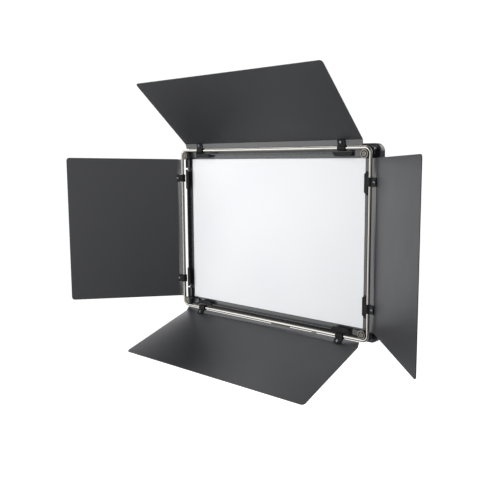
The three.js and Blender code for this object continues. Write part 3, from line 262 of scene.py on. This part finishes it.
print(material.name)

# %% [markdown]
# ## Moulded plastics
# The clips and saddles are ABS from a spark-eroded mould, which leaves a pebbled matt skin, and so are the
# boxes on the back, in a paler and coarser grade. The knobs are nylon, a little smoother and softer. The
# patterns are cells about a millimetre across.

# %% Moulded plastics
PLASTICS = [
    ("black_plastic", "abs_spark_eroded_black", "#050506", "#0a0a0b", 1.1, 0.5, 0.66, 0.25, 1.3),
    ("box_plastic", "abs_textured_housing_black", "#161618", "#1f1f22", 1.4, 0.42, 0.56, 0.3, 1.5),
    ("knob_plastic", "nylon_satin_black", "#0e0e10", "#151517", 0.9, 0.4, 0.52, 0.12, 1.5),
]
for slot, name, dark, pale, cell_mm, smooth, rough, relief, index in PLASTICS:
    material, tree, shader, where = start_material(name, IOR=index)
    cells = add_node(tree, "ShaderNodeTexVoronoi", {"Scale": per_metre(cell_mm)}, {"Vector": where})
    cloud = add_node(tree, "ShaderNodeTexNoise", {"Scale": per_metre(12), "Detail": 4.0}, {"Vector": where})
    tone = add_node(
        tree,
        "ShaderNodeMix",
        {"data_type": "RGBA", MIX_A: linear(dark), MIX_B: linear(pale)},
        {"Factor": cloud.outputs["Fac"]},
    )
    gloss = add_node(
        tree,
        "ShaderNodeMapRange",
        {"From Min": NOISE_LOW, "From Max": NOISE_HIGH, "To Min": smooth, "To Max": rough},
        {"Value": cloud.outputs["Fac"]},
    )
    skin = add_node(
        tree,
        "ShaderNodeBump",
        {"Strength": relief, "Distance": 0.1 * MM},
        {"Height": cells.outputs["Distance"]},
    )
    tree.links.new(tone.outputs[MIX_COLOUR], shader.inputs["Base Color"])
    tree.links.new(gloss.outputs["Result"], shader.inputs["Roughness"])
    tree.links.new(skin.outputs["Normal"], shader.inputs["Normal"])
    finishes[slot] = material
    print(name)

# %% [markdown]
# ## Metals
# The rod is chrome plated and almost a mirror, dulled a little by the clips that slide along it. Screws
# are zinc-plated steel, the corner screws and their washers nickel-plated, the heat sink is plain
# extruded aluminium and the contacts are brass. They share one recipe: a roughness that wanders, and
# grain that on the sink and the contacts is stretched along the way the metal was worked.

# %% Metals
METALS = [
    ("chrome_rod", "chrome_plate", "#9b9893", 0.09, 0.17, 2.5, (1.0, 1.0, 1.0), 0.01),
    ("steel_screw", "zinc_plated_steel", "#696c70", 0.2, 0.34, 0.8, (1.0, 1.0, 1.0), 0.12),
    ("corner_screw", "nickel_plated_steel", "#5f5c57", 0.16, 0.3, 0.8, (1.0, 1.0, 1.0), 0.08),
    ("aluminium_sink", "extruded_aluminium", "#b3b6ba", 0.32, 0.48, 0.8, (1.0, 1.0, 0.05), 0.15),
    ("brass_contact", "brass_strip", "#c9a45c", 0.2, 0.34, 0.8, (1.0, 1.0, 0.08), 0.1),
]
DULLED = 0.82
for slot, name, colour, smooth, rough, grain_mm, stretch, relief in METALS:
    material, tree, shader, where = start_material(name, Metallic=1.0)
    worked = add_node(tree, "ShaderNodeMapping", {"Scale": stretch}, {"Vector": where})
    grain = add_node(
        tree,
        "ShaderNodeTexNoise",
        {"Scale": per_metre(grain_mm), "Detail": 3.0},
        {"Vector": worked.outputs["Vector"]},
    )
    wander = add_node(tree, "ShaderNodeTexNoise", {"Scale": per_metre(18), "Detail": 4.0}, {"Vector": where})
    pale = linear(colour)
    dull = tuple(channel * DULLED for channel in pale[:3]) + (1.0,)
    tone = add_node(
        tree,
        "ShaderNodeMix",
        {"data_type": "RGBA", MIX_A: dull, MIX_B: pale},
        {"Factor": wander.outputs["Fac"]},
    )
    gloss = add_node(
        tree,
        "ShaderNodeMapRange",
        {"From Min": NOISE_LOW, "From Max": NOISE_HIGH, "To Min": smooth, "To Max": rough},
        {"Value": wander.outputs["Fac"]},
    )
    skin = add_node(
        tree,
        "ShaderNodeBump",
        {"Strength": relief, "Distance": 0.05 * MM},
        {"Height": grain.outputs["Fac"]},
    )
    tree.links.new(tone.outputs[MIX_COLOUR], shader.inputs["Base Color"])
    tree.links.new(gloss.outputs["Result"], shader.inputs["Roughness"])
    tree.links.new(skin.outputs["Normal"], shader.inputs["Normal"])
    finishes[slot] = material
    print(name)

# %% [markdown]
# ## Opal window
# The diffuser is cast acrylic filled with white pigment, and its face is embossed with fine prisms that
# blur the LEDs. The lamp is on at a low level, so the sheet glows, evenly from edge to edge.

# %% Opal window
GLOW = 0.19
material, tree, shader, where = start_material("opal_acrylic_prismatic", IOR=1.49, Roughness=0.5)
prisms = add_node(tree, "ShaderNodeTexVoronoi", {"Scale": per_metre(1.6)}, {"Vector": where})
glow_map = add_node(tree, "ShaderNodeTexNoise", {"Scale": per_metre(140), "Detail": 1.0}, {"Vector": where})
tone = add_node(
    tree,
    "ShaderNodeMix",
    {"data_type": "RGBA", MIX_A: linear("#d2d3d6"), MIX_B: linear("#dadbdd")},
    {"Factor": glow_map.outputs["Fac"]},
)
skin = add_node(
    tree, "ShaderNodeBump", {"Strength": 0.1, "Distance": 0.08 * MM}, {"Height": prisms.outputs["Distance"]}
)
tree.links.new(tone.outputs[MIX_COLOUR], shader.inputs["Base Color"])
tree.links.new(tone.outputs[MIX_COLOUR], shader.inputs["Emission Color"])
tree.links.new(skin.outputs["Normal"], shader.inputs["Normal"])
shader.inputs["Emission Strength"].default_value = GLOW
finishes["opal_diffuser"] = material
print(material.name)

# %% [markdown]
# ## Boards, window and ink
# Circuit boards wear a glossy solder mask over faint copper tracks. The display is black-tinted
# polycarbonate, and its level bars are pale liquid-crystal segments. The scales round the dials are
# pad-printed in white ink, which sits a little proud.

# %% Boards, window and ink
SKINS = [
    ("led_board_white", "solder_mask_white", "#d9d9d4", "#c6c6c0", 3.0, 0.3),
    ("circuit_board_green", "solder_mask_green", "#1d4a31", "#28603f", 2.2, 0.28),
    ("gloss_black_window", "polycarbonate_black_gloss", "#08090b", "#0d0e11", 9.0, 0.06),
    ("white_ink", "pad_print_white", "#cfcfca", "#dededa", 0.7, 0.5),
    ("display_bars", "lcd_pale_blue", "#9fc4d6", "#b4d3e2", 0.9, 0.4),
]
DULLEST = 1.4
for slot, name, dark, pale, feature_mm, rough in SKINS:
    material, tree, shader, where = start_material(name, IOR=1.5)
    scale = per_metre(feature_mm)
    tracks = add_node(tree, "ShaderNodeTexNoise", {"Scale": scale, "Detail": 3.0}, {"Vector": where})
    tone = add_node(
        tree,
        "ShaderNodeMix",
        {"data_type": "RGBA", MIX_A: linear(dark), MIX_B: linear(pale)},
        {"Factor": tracks.outputs["Fac"]},
    )
    gloss = add_node(
        tree,
        "ShaderNodeMapRange",
        {"From Min": NOISE_LOW, "From Max": NOISE_HIGH, "To Min": rough, "To Max": rough * DULLEST},
        {"Value": tracks.outputs["Fac"]},
    )
    skin = add_node(
        tree, "ShaderNodeBump", {"Strength": 0.06, "Distance": 0.05 * MM}, {"Height": tracks.outputs["Fac"]}
    )
    tree.links.new(tone.outputs[MIX_COLOUR], shader.inputs["Base Color"])
    tree.links.new(gloss.outputs["Result"], shader.inputs["Roughness"])
    tree.links.new(skin.outputs["Normal"], shader.inputs["Normal"])
    finishes[slot] = material
    print(name)

# %% [markdown]
# ## Finishing a piece
# A bmesh becomes a piece in one place: doubles merged, faces smooth except across sharp edges, finish
# set, and riding on its body. Weighted normals keep the flats flat beside a rounded edge.

# %% Finishing a piece
SMOOTH_ANGLE = math.radians(38)
SAME_POINT = 0.002 * MM


def make_piece(shape, name, body, slot, stands_for=()):
    """Turns a finished bmesh into a named piece on its body."""
    bmesh.ops.remove_doubles(shape, verts=shape.verts[:], dist=SAME_POINT)
    mesh = bpy.data.meshes.new(name)
    shape.to_mesh(mesh)
    shape.free()
    mesh.materials.append(finishes[slot])
    mesh.shade_smooth()
    mesh.set_sharp_from_angle(angle=SMOOTH_ANGLE)
    piece = bpy.data.objects.new(name, mesh)
    bpy.context.scene.collection.objects.link(piece)
    weighted = piece.modifiers.new("flat_faces", "WEIGHTED_NORMAL")
    weighted.keep_sharp = True
    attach(piece, body)
    if stands_for:
        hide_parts(*stands_for)
    return piece


# %% [markdown]
# ## Rounded edges
# No real edge is perfectly sharp: paint pools on it and a mould rounds it, and that thin round catches
# the light. Each frame solid is copied, its loose triangles are merged into whole faces, and its sharp
# edges get a small bevel. Sheet metal gets a smaller one than mouldings. A leaf first has the free corners
# of its lip drawn in a little, so that it clears the corner spools when it is shut.

# %% Rounded edges
SHARP_EDGE = math.radians(32)
FLAT_WITHIN = math.radians(0.6)
SAME_CORNER = 0.004 * MM
EDGE_ROUND_MM = {
    "housing_shell": 0.8,
    "front_bezel": 0.25,
    "back_cover": 0.25,
    "rear_bracket": 0.5,
    "stand_socket": 0.5,
    "control_box": 0.5,
    "battery_plate": 0.4,
    "battery_release": 0.3,
    "brightness_dial": 0.3,
    "colour_dial": 0.3,
    "mode_button": 0.2,
    "menu_button": 0.2,
    "power_rocker": 0.4,
    "power_inlet": 0.3,
    "data_port": 0.3,
    "display_window": 0.2,
    "tilt_pin": 0.4,
    "tilt_lock_lever": 0.8,
    "stand_clamp_knob": 0.8,
}
EDGE_ROUND_BY_START = {
    "leaf": 0.22,
    "hinge_clip": 0.3,
    "rim_saddle": 0.35,
    "corner_bracket": 0.3,
    "corner_screw": 0.25,
    "clip_screw": 0.15,
}


def edge_round(node):
    """The radius in millimetres that rounds this node's edges, or None for a hidden piece."""
    for start, size in EDGE_ROUND_BY_START.items():
        if node.startswith(start):
            return size
    return EDGE_ROUND_MM.get(node)


LIP_FREE_EDGE = 5.5 * MM
LIP_CORNER_PULL = 0.9 * MM
leaf_hinges = {joint["child"]: joint for joint in frame["joints"] if joint["child"].startswith("leaf_")}


def draw_in_lip_corners(shape, hinge):
    """Moves the corners nearest the hinge line towards the middle of the leaf."""
    pivot = Vector(hinge["pos_m"])
    axis = Vector(hinge["axis"]).normalized()
    free_edge = []
    for vert in shape.verts:
        reach = vert.co - pivot
        along = reach.dot(axis)
        if (reach - along * axis).length < LIP_FREE_EDGE:
            free_edge.append((along, vert))
    end = max(abs(along) for along, vert in free_edge)
    for along, vert in free_edge:
        if abs(along) > end - LIP_CORNER_PULL:
            vert.co -= math.copysign(LIP_CORNER_PULL, along) * axis


def rounded_copy(node, size_mm):
    """A merged copy of a frame solid with its sharp edges rounded."""
    shape = bmesh.new()
    shape.from_mesh(frame["nodes"][node].data)
    bmesh.ops.remove_doubles(shape, verts=shape.verts[:], dist=SAME_CORNER)
    bmesh.ops.dissolve_limit(
        shape, angle_limit=FLAT_WITHIN, verts=shape.verts[:], edges=shape.edges[:]
    )
    if node in leaf_hinges:
        draw_in_lip_corners(shape, leaf_hinges[node])
    sharp = [
        edge
        for edge in shape.edges
        if len(edge.link_faces) == 2 and edge.calc_face_angle(0) > SHARP_EDGE
    ]
    bmesh.ops.bevel(
        shape,
        geom=sharp,
        affect="EDGES",
        offset=size_mm * MM,
        offset_type="OFFSET",
        segments=2,
        profile=0.5,
        material=-1,
        clamp_overlap=True,
    )
    return shape


def finish_for(node):
    """The finish of a node: its record slot's, or a closer match."""
    if node in ("control_box", "battery_plate"):
        return "box_plastic"
    if node.startswith("corner_screw"):
        return "corner_screw"
    return slot_of[node]


for node in sorted(frame["nodes"]):
    size_mm = edge_round(node)
    if size_mm is None:
        continue
    shape = rounded_copy(node, size_mm)
    finish = finish_for(node)
    make_piece(shape, node + "_finished", body_of_node[node], finish, stands_for=[node])
print("rounded:", sum(edge_round(node) is not None for node in frame["nodes"]))

# %% [markdown]
# ## Plain frame solids
# The diffuser, the inner boards and the heat sink already have their real shape, so they only take
# their finish.

# %% Plain frame solids
for node in ("diffuser_panel", "led_board", "driver_board", "heat_sink"):
    node_mesh = frame["nodes"][node].data
    node_mesh.materials.clear()
    node_mesh.materials.append(finishes[slot_of[node]])
print("kept as they are: diffuser, boards and heat sink")

# %% [markdown]
# ## Bent rod
# The rod is one length of 6 mm bar bent round four corners. A circle is extruded along each straight
# and spun round each bend, and the last ring is welded to the first.

# %% Bent rod
ROD_RADIUS = 3 * MM
ROD_BEND = 10 * MM
ROD_SIDES = 32
BEND_STEPS = 14
FRAME_ROD_SIDES = 12

rod_low, rod_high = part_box("hinge_rod_frame")
to_axis = ROD_RADIUS * math.cos(math.pi / FRAME_ROD_SIDES)
rod_y = (rod_low.y + rod_high.y) / 2
rod_z = (rod_low.z + rod_high.z) / 2
half_span_x = (rod_high.x - rod_low.x) / 2 - to_axis - ROD_BEND
half_span_z = (rod_high.z - rod_low.z) / 2 - to_axis - ROD_BEND

shape = bmesh.new()
start = Matrix.Translation((-half_span_x, rod_y, rod_z + half_span_z + ROD_BEND))
across = Matrix.Rotation(math.radians(90), 4, "Y")
bmesh.ops.create_circle(shape, segments=ROD_SIDES, radius=ROD_RADIUS, matrix=start @ across)
ring = shape.edges[:]
RUNS = [
    ((1, 0, 0), 2 * half_span_x, (half_span_x, half_span_z)),
    ((0, 0, -1), 2 * half_span_z, (half_span_x, -half_span_z)),
    ((-1, 0, 0), 2 * half_span_x, (-half_span_x, -half_span_z)),
    ((0, 0, 1), 2 * half_span_z, (-half_span_x, half_span_z)),
]
for direction, length, bend_centre in RUNS:
    made = bmesh.ops.extrude_edge_only(shape, edges=ring)["geom"]
    moved = [item for item in made if isinstance(item, bmesh.types.BMVert)]
    ring = [item for item in made if isinstance(item, bmesh.types.BMEdge)]
    bmesh.ops.translate(shape, verts=moved, vec=Vector(direction) * length)
    turned = bmesh.ops.spin(
        shape,
        geom=ring + moved,
        cent=(bend_centre[0], rod_y, rod_z + bend_centre[1]),
        axis=(0, 1, 0),
        angle=math.radians(90),
        steps=BEND_STEPS,
        use_merge=False,
    )["geom_last"]
    ring = [item for item in turned if isinstance(item, bmesh.types.BMEdge)]
bmesh.ops.remove_doubles(shape, verts=shape.verts[:], dist=0.01 * MM)
bmesh.ops.recalc_face_normals(shape, faces=shape.faces[:])
print("rod:", len(shape.faces), "faces")
make_piece(shape, "bent_rod", "panel", "chrome_rod", stands_for=["hinge_rod_frame"])

# %% [markdown]
# ## Corner washers
# Each corner screw pulls down on a spool that the rod bends round. A plated washer rims the spool, so a
# ring of metal surrounds the dark seat of the screw. One rounded section is spun round each screw.

# %% Corner washers
WASHER_STEPS = 40
SPOOL_BELOW_SCREW = 1.0
WASHER_PROFILE = [(5.75, 0.05), (7.6, 0.05), (7.7, 0.2), (7.6, 0.45), (7.2, 0.6), (6.1, 0.6), (5.75, 0.45)]

shape = bmesh.new()
for node in sorted(frame["nodes"]):
    if not node.startswith("corner_screw"):
        continue
    low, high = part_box(node)
    centre = Vector(((low.x + high.x) / 2, low.y + SPOOL_BELOW_SCREW * MM, (low.z + high.z) / 2))
    points = [
        shape.verts.new(centre + Vector((radius * MM, -rise * MM, 0))) for radius, rise in WASHER_PROFILE
    ]
    edges = [shape.edges.new(pair) for pair in zip(points, points[1:] + points[:1])]
    bmesh.ops.spin(
        shape,
        geom=points + edges,
        cent=centre,
        axis=(0, 1, 0),
        angle=math.radians(360),
        steps=WASHER_STEPS,
        use_merge=True,
    )
bmesh.ops.remove_doubles(shape, verts=shape.verts[:], dist=SAME_POINT)
bmesh.ops.recalc_face_normals(shape, faces=shape.faces[:])
print("washers:", len(shape.faces), "faces")
make_piece(shape, "corner_washers", "panel", "corner_screw")

# %% [markdown]
# ## Back cover screws
# The cover is held by small pan-head screws with a socket in the head, and so is the control box. Each
# head is half a profile spun round its axis: a few points make a socket, a flat and a rounded rim.

# %% Back cover screws
SCREW_STEPS = 20
SCREW_SOCKET = [(0.0, 0.6), (1.3, 0.6), (1.3, 1.5)]
SCREW_RIM = [(2.4, 1.5), (2.9, 1.1), (3.0, 0.6), (3.0, 0.0), (0.0, 0.0)]


def spun_screw(shape, x, y, z):
    """Adds a screw head to the bmesh. Its seat is at y and it faces backwards."""
    profile = SCREW_SOCKET + SCREW_RIM
    points = [shape.verts.new((x + radius * MM, y + rise * MM, z)) for radius, rise in profile]
    edges = [shape.edges.new(pair) for pair in zip(points, points[1:])]
    bmesh.ops.spin(
        shape,
        geom=points + edges,
        cent=(x, y, z),
        axis=(0, 1, 0),
        angle=math.radians(360),
        steps=SCREW_STEPS,
        use_merge=True,
    )


cover_low, cover_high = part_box("back_cover")
SCREW_INSET = 6 * MM
shape = bmesh.new()
for x in (cover_low.x + SCREW_INSET, 0.0, cover_high.x - SCREW_INSET):
    for z in (cover_low.z + SCREW_INSET, cover_high.z - SCREW_INSET):
        if x == 0.0 and z < rod_z:
            continue
        spun_screw(shape, x, cover_high.y, z)
for x in (cover_low.x + SCREW_INSET, cover_high.x - SCREW_INSET):
    spun_screw(shape, x, cover_high.y, rod_z)
bmesh.ops.remove_doubles(shape, verts=shape.verts[:], dist=SAME_POINT)
bmesh.ops.recalc_face_normals(shape, faces=shape.faces[:])
make_piece(shape, "cover_screws", "panel", "steel_screw")

fascia_low, fascia_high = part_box("control_box")
SCREW_FROM_SIDE = 12 * MM
shape = bmesh.new()
for x in (fascia_low.x + SCREW_FROM_SIDE, fascia_high.x - SCREW_FROM_SIDE):
    for z in (fascia_low.z + SCREW_FROM_SIDE, fascia_high.z - SCREW_FROM_SIDE):
        spun_screw(shape, x, fascia_high.y, z)
bmesh.ops.remove_doubles(shape, verts=shape.verts[:], dist=SAME_POINT)
bmesh.ops.recalc_face_normals(shape, faces=shape.faces[:])
make_piece(shape, "box_screws", "panel", "steel_screw")
print("screws: 7 on the cover, 4 on the box")

# %% [markdown]
# ## Dial scales and pointers
# A printed scale runs most of the way round each dial, and a white line on the dial points at it. Each
# mark is one thin block, because ink has a real, if tiny, thickness.

# %% Dial scales and pointers
SCALE_MARKS = 11
SCALE_HALF_SWEEP = math.radians(150)
SCALE_RADIUS = 15.5 * MM
LONG_MARK_EVERY = 5
LONG_MARK = 3.2 * MM
SHORT_MARK = 2.0 * MM
MARK_WIDE = 0.6 * MM
INK_THICK = 0.2 * MM
POINTER_WIDE = 0.9 * MM
POINTER_LONG = 7.5 * MM
POINTER_FROM_MIDDLE = 3 * MM
POINTER_BELOW_TOP = 0.42 * MM


def add_block(shape, centre, size, angle=0.0, pivot=None):
    """Adds a block, turned about Y round the pivot, in metres."""
    sized = Matrix.Diagonal((*size, 1.0))
    place = Matrix.Translation(centre)
    if pivot is not None:
        turn_about = Matrix.Translation(pivot) @ Matrix.Rotation(angle, 4, "Y")
        place = turn_about @ Matrix.Translation(Vector(centre) - Vector(pivot))
    bmesh.ops.create_cube(shape, size=1.0, matrix=place @ sized)


for node in ("brightness_dial", "colour_dial"):
    low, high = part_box(node)
    middle = Vector(((low.x + high.x) / 2, fascia_high.y + INK_THICK / 2, (low.z + high.z) / 2))
    shape = bmesh.new()
    for i in range(SCALE_MARKS):
        angle = -SCALE_HALF_SWEEP + 2 * SCALE_HALF_SWEEP * i / (SCALE_MARKS - 1)
        length = LONG_MARK if i % LONG_MARK_EVERY == 0 else SHORT_MARK
        centre = middle + Vector((0, 0, SCALE_RADIUS + length / 2))
        add_block(shape, centre, (MARK_WIDE, INK_THICK, length), angle, middle)
    make_piece(shape, node + "_scale", "panel", "white_ink")
    shape = bmesh.new()
    pointer_z = middle.z + POINTER_LONG / 2 + POINTER_FROM_MIDDLE
    centre = Vector((middle.x, high.y - POINTER_BELOW_TOP, pointer_z))
    add_block(shape, centre, (POINTER_WIDE, INK_THICK, POINTER_LONG))
    make_piece(shape, node + "_pointer", node, "white_ink")
print("dial marks:", SCALE_MARKS, "each")

# %% [markdown]
# ## Level bars
# The display shows how bright the lamp is as a row of rising bars, which needs no lettering. Each bar is
# one thin block just above the black window.

# %% Level bars
LEVEL_BARS = 12
BAR_PITCH = 3.2 * MM
BAR_WIDE = 1.9 * MM
BAR_THICK = 0.2 * MM
SHORTEST_BAR = 3.0 * MM
BAR_RISE = 1.0 * MM
BARS_ABOVE_EDGE = 5 * MM

window_low, window_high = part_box("display_window")
middle_x = (window_low.x + window_high.x) / 2
foot = window_low.z + BARS_ABOVE_EDGE
shape = bmesh.new()
for i in range(LEVEL_BARS):
    length = SHORTEST_BAR + i * BAR_RISE
    # The display is read from behind, where the right-hand side is at lower X.
    x = middle_x - (i - (LEVEL_BARS - 1) / 2) * BAR_PITCH
    add_block(shape, Vector((x, window_high.y, foot + length / 2)), (BAR_WIDE, BAR_THICK, length))
make_piece(shape, "level_bars", "panel", "display_bars")
print("level bars:", LEVEL_BARS)

# %% [markdown]
# ## Battery contacts
# A battery clips onto its plate by a wedge, and three brass strips in the recess carry the current.

# %% Battery contacts
plate_low, plate_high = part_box("battery_plate")
RECESS_DEEP = 7 * MM
CONTACT_PITCH = 9 * MM
CONTACT_BELOW_TOP = 52 * MM
CONTACT_ABOVE_RECESS = 0.5 * MM
CONTACT_SIZE = (3.2 * MM, 0.9 * MM, 16 * MM)
CONTACT_ROUND = 0.3 * MM
shape = bmesh.new()
for step in (-1, 0, 1):
    centre = Vector(((plate_low.x + plate_high.x) / 2 + step * CONTACT_PITCH, 0, 0))
    centre.y = plate_high.y - RECESS_DEEP + CONTACT_ABOVE_RECESS
    centre.z = plate_high.z - CONTACT_BELOW_TOP
    add_block(shape, centre, CONTACT_SIZE)
bmesh.ops.bevel(
    shape,
    geom=shape.edges[:],
    affect="EDGES",
    offset=CONTACT_ROUND,
    offset_type="OFFSET",
    segments=2,
    profile=0.5,
    material=-1,
)
make_piece(shape, "battery_contacts", "panel", "brass_contact")
print("contacts: 3")

# %% [markdown]
# ## Studio
# The lamp sits on a stand, which is a separate product, so the pale floor lies well below it. The sweep
# behind it is white and the rest of the room is dim, which keeps black paint black. A broad soft box on
# the left is the key light and one behind it rims the housing. Two weaker ones on the right fill, and
# one more behind the panel shows its back.

# %% Floor
FLOOR_BELOW = 0.6
FLOOR_HALF = 30.0
PAPER_GLOW = 0.9
shape = bmesh.new()
bmesh.ops.create_grid(
    shape,
    x_segments=1,
    y_segments=1,
    size=FLOOR_HALF,
    matrix=Matrix.Translation((0, 0, cad_low.z - FLOOR_BELOW)),
)
floor_mesh = bpy.data.meshes.new("floor")
shape.to_mesh(floor_mesh)
shape.free()
floor = bpy.data.objects.new("floor", floor_mesh)
bpy.context.scene.collection.objects.link(floor)
material, tree, shader, where = start_material("paper_sweep_white", Roughness=0.9)
fibre = add_node(tree, "ShaderNodeTexNoise", {"Scale": per_metre(60), "Detail": 3.0}, {"Vector": where})
tone = add_node(
    tree,
    "ShaderNodeMix",
    {"data_type": "RGBA", MIX_A: linear("#b4b4b4"), MIX_B: linear("#bcbcbc")},
    {"Factor": fibre.outputs["Fac"]},
)
tree.links.new(tone.outputs[MIX_COLOUR], shader.inputs["Base Color"])
shader.inputs["Emission Color"].default_value = linear("#ffffff")
seen = add_node(tree, "ShaderNodeLightPath")
lit = add_node(
    tree,
    "ShaderNodeMapRange",
    {"To Min": 0.0, "To Max": PAPER_GLOW},
    {"Value": seen.outputs["Is Camera Ray"]},
)
tree.links.new(lit.outputs["Result"], shader.inputs["Emission Strength"])
floor_mesh.materials.append(material)
print("floor at", round(cad_low.z - FLOOR_BELOW, 3))

# %% Lights
SWEEP_DIRECTION = (-0.67, 0.73, 0.13)
SWEEP_LEVEL = 0.55
ROOM_LEVEL = 0.12
SEEN_LEVEL = 1.05
bpy.context.scene.view_settings.view_transform = "Standard"
world = bpy.data.worlds.new("white_studio")
bpy.context.scene.world = world
world.use_nodes = True
tree = world.node_tree
background = tree.nodes["Background"]
background.inputs["Color"].default_value = linear("#ffffff")
way = add_node(tree, "ShaderNodeTexCoord").outputs["Generated"]
toward_sweep = add_node(
    tree, "ShaderNodeVectorMath", {"operation": "DOT_PRODUCT", 1: SWEEP_DIRECTION}, {0: way}
)
white_side = add_node(
    tree,
    "ShaderNodeMapRange",
    {"From Min": -0.2, "From Max": 0.9, "To Min": ROOM_LEVEL, "To Max": SWEEP_LEVEL},
    {"Value": toward_sweep.outputs["Value"]},
)
seen = add_node(tree, "ShaderNodeLightPath")
strength = add_node(
    tree,
    "ShaderNodeMix",
    {"data_type": "FLOAT", FLOAT_B: SEEN_LEVEL},
    {MIX_FACTOR: seen.outputs["Is Camera Ray"], FLOAT_A: white_side.outputs["Result"]},
)
tree.links.new(strength.outputs[0], background.inputs["Strength"])


def add_softbox(name, direction, distance, width, height, brightness):
    """A rectangular soft box aimed at the panel. Brightness is its own radiance, where white is 1."""
    data = bpy.data.lights.new(name, "AREA")
    data.shape = "RECTANGLE"
    data.size = width
    data.size_y = height
    data.energy = brightness * math.pi * width * height
    lamp = bpy.data.objects.new(name, data)
    bpy.context.scene.collection.objects.link(lamp)
    outward = Vector(direction).normalized()
    place = window_centre + outward * distance
    lamp.matrix_world = Matrix.Translation(place) @ outward.to_track_quat("Z", "Y").to_matrix().to_4x4()
    return lamp


add_softbox("key_softbox", (-0.63, -0.75, 0.17), 1.5, 1.5, 2.0, 3.2)
add_softbox("back_softbox", (-0.67, 0.48, 0.57), 1.8, 1.5, 1.5, 3.6)
add_softbox("fill_softbox", (0.75, -0.62, 0.35), 2.2, 1.2, 1.6, 1.2)
add_softbox("front_softbox", (0.33, -0.94, 0.0), 2.2, 0.7, 1.4, 1.6)
add_softbox("rear_softbox", (0.3, 0.86, 0.42), 2.6, 2.0, 1.4, 2.4)
print("studio: world and five soft boxes")
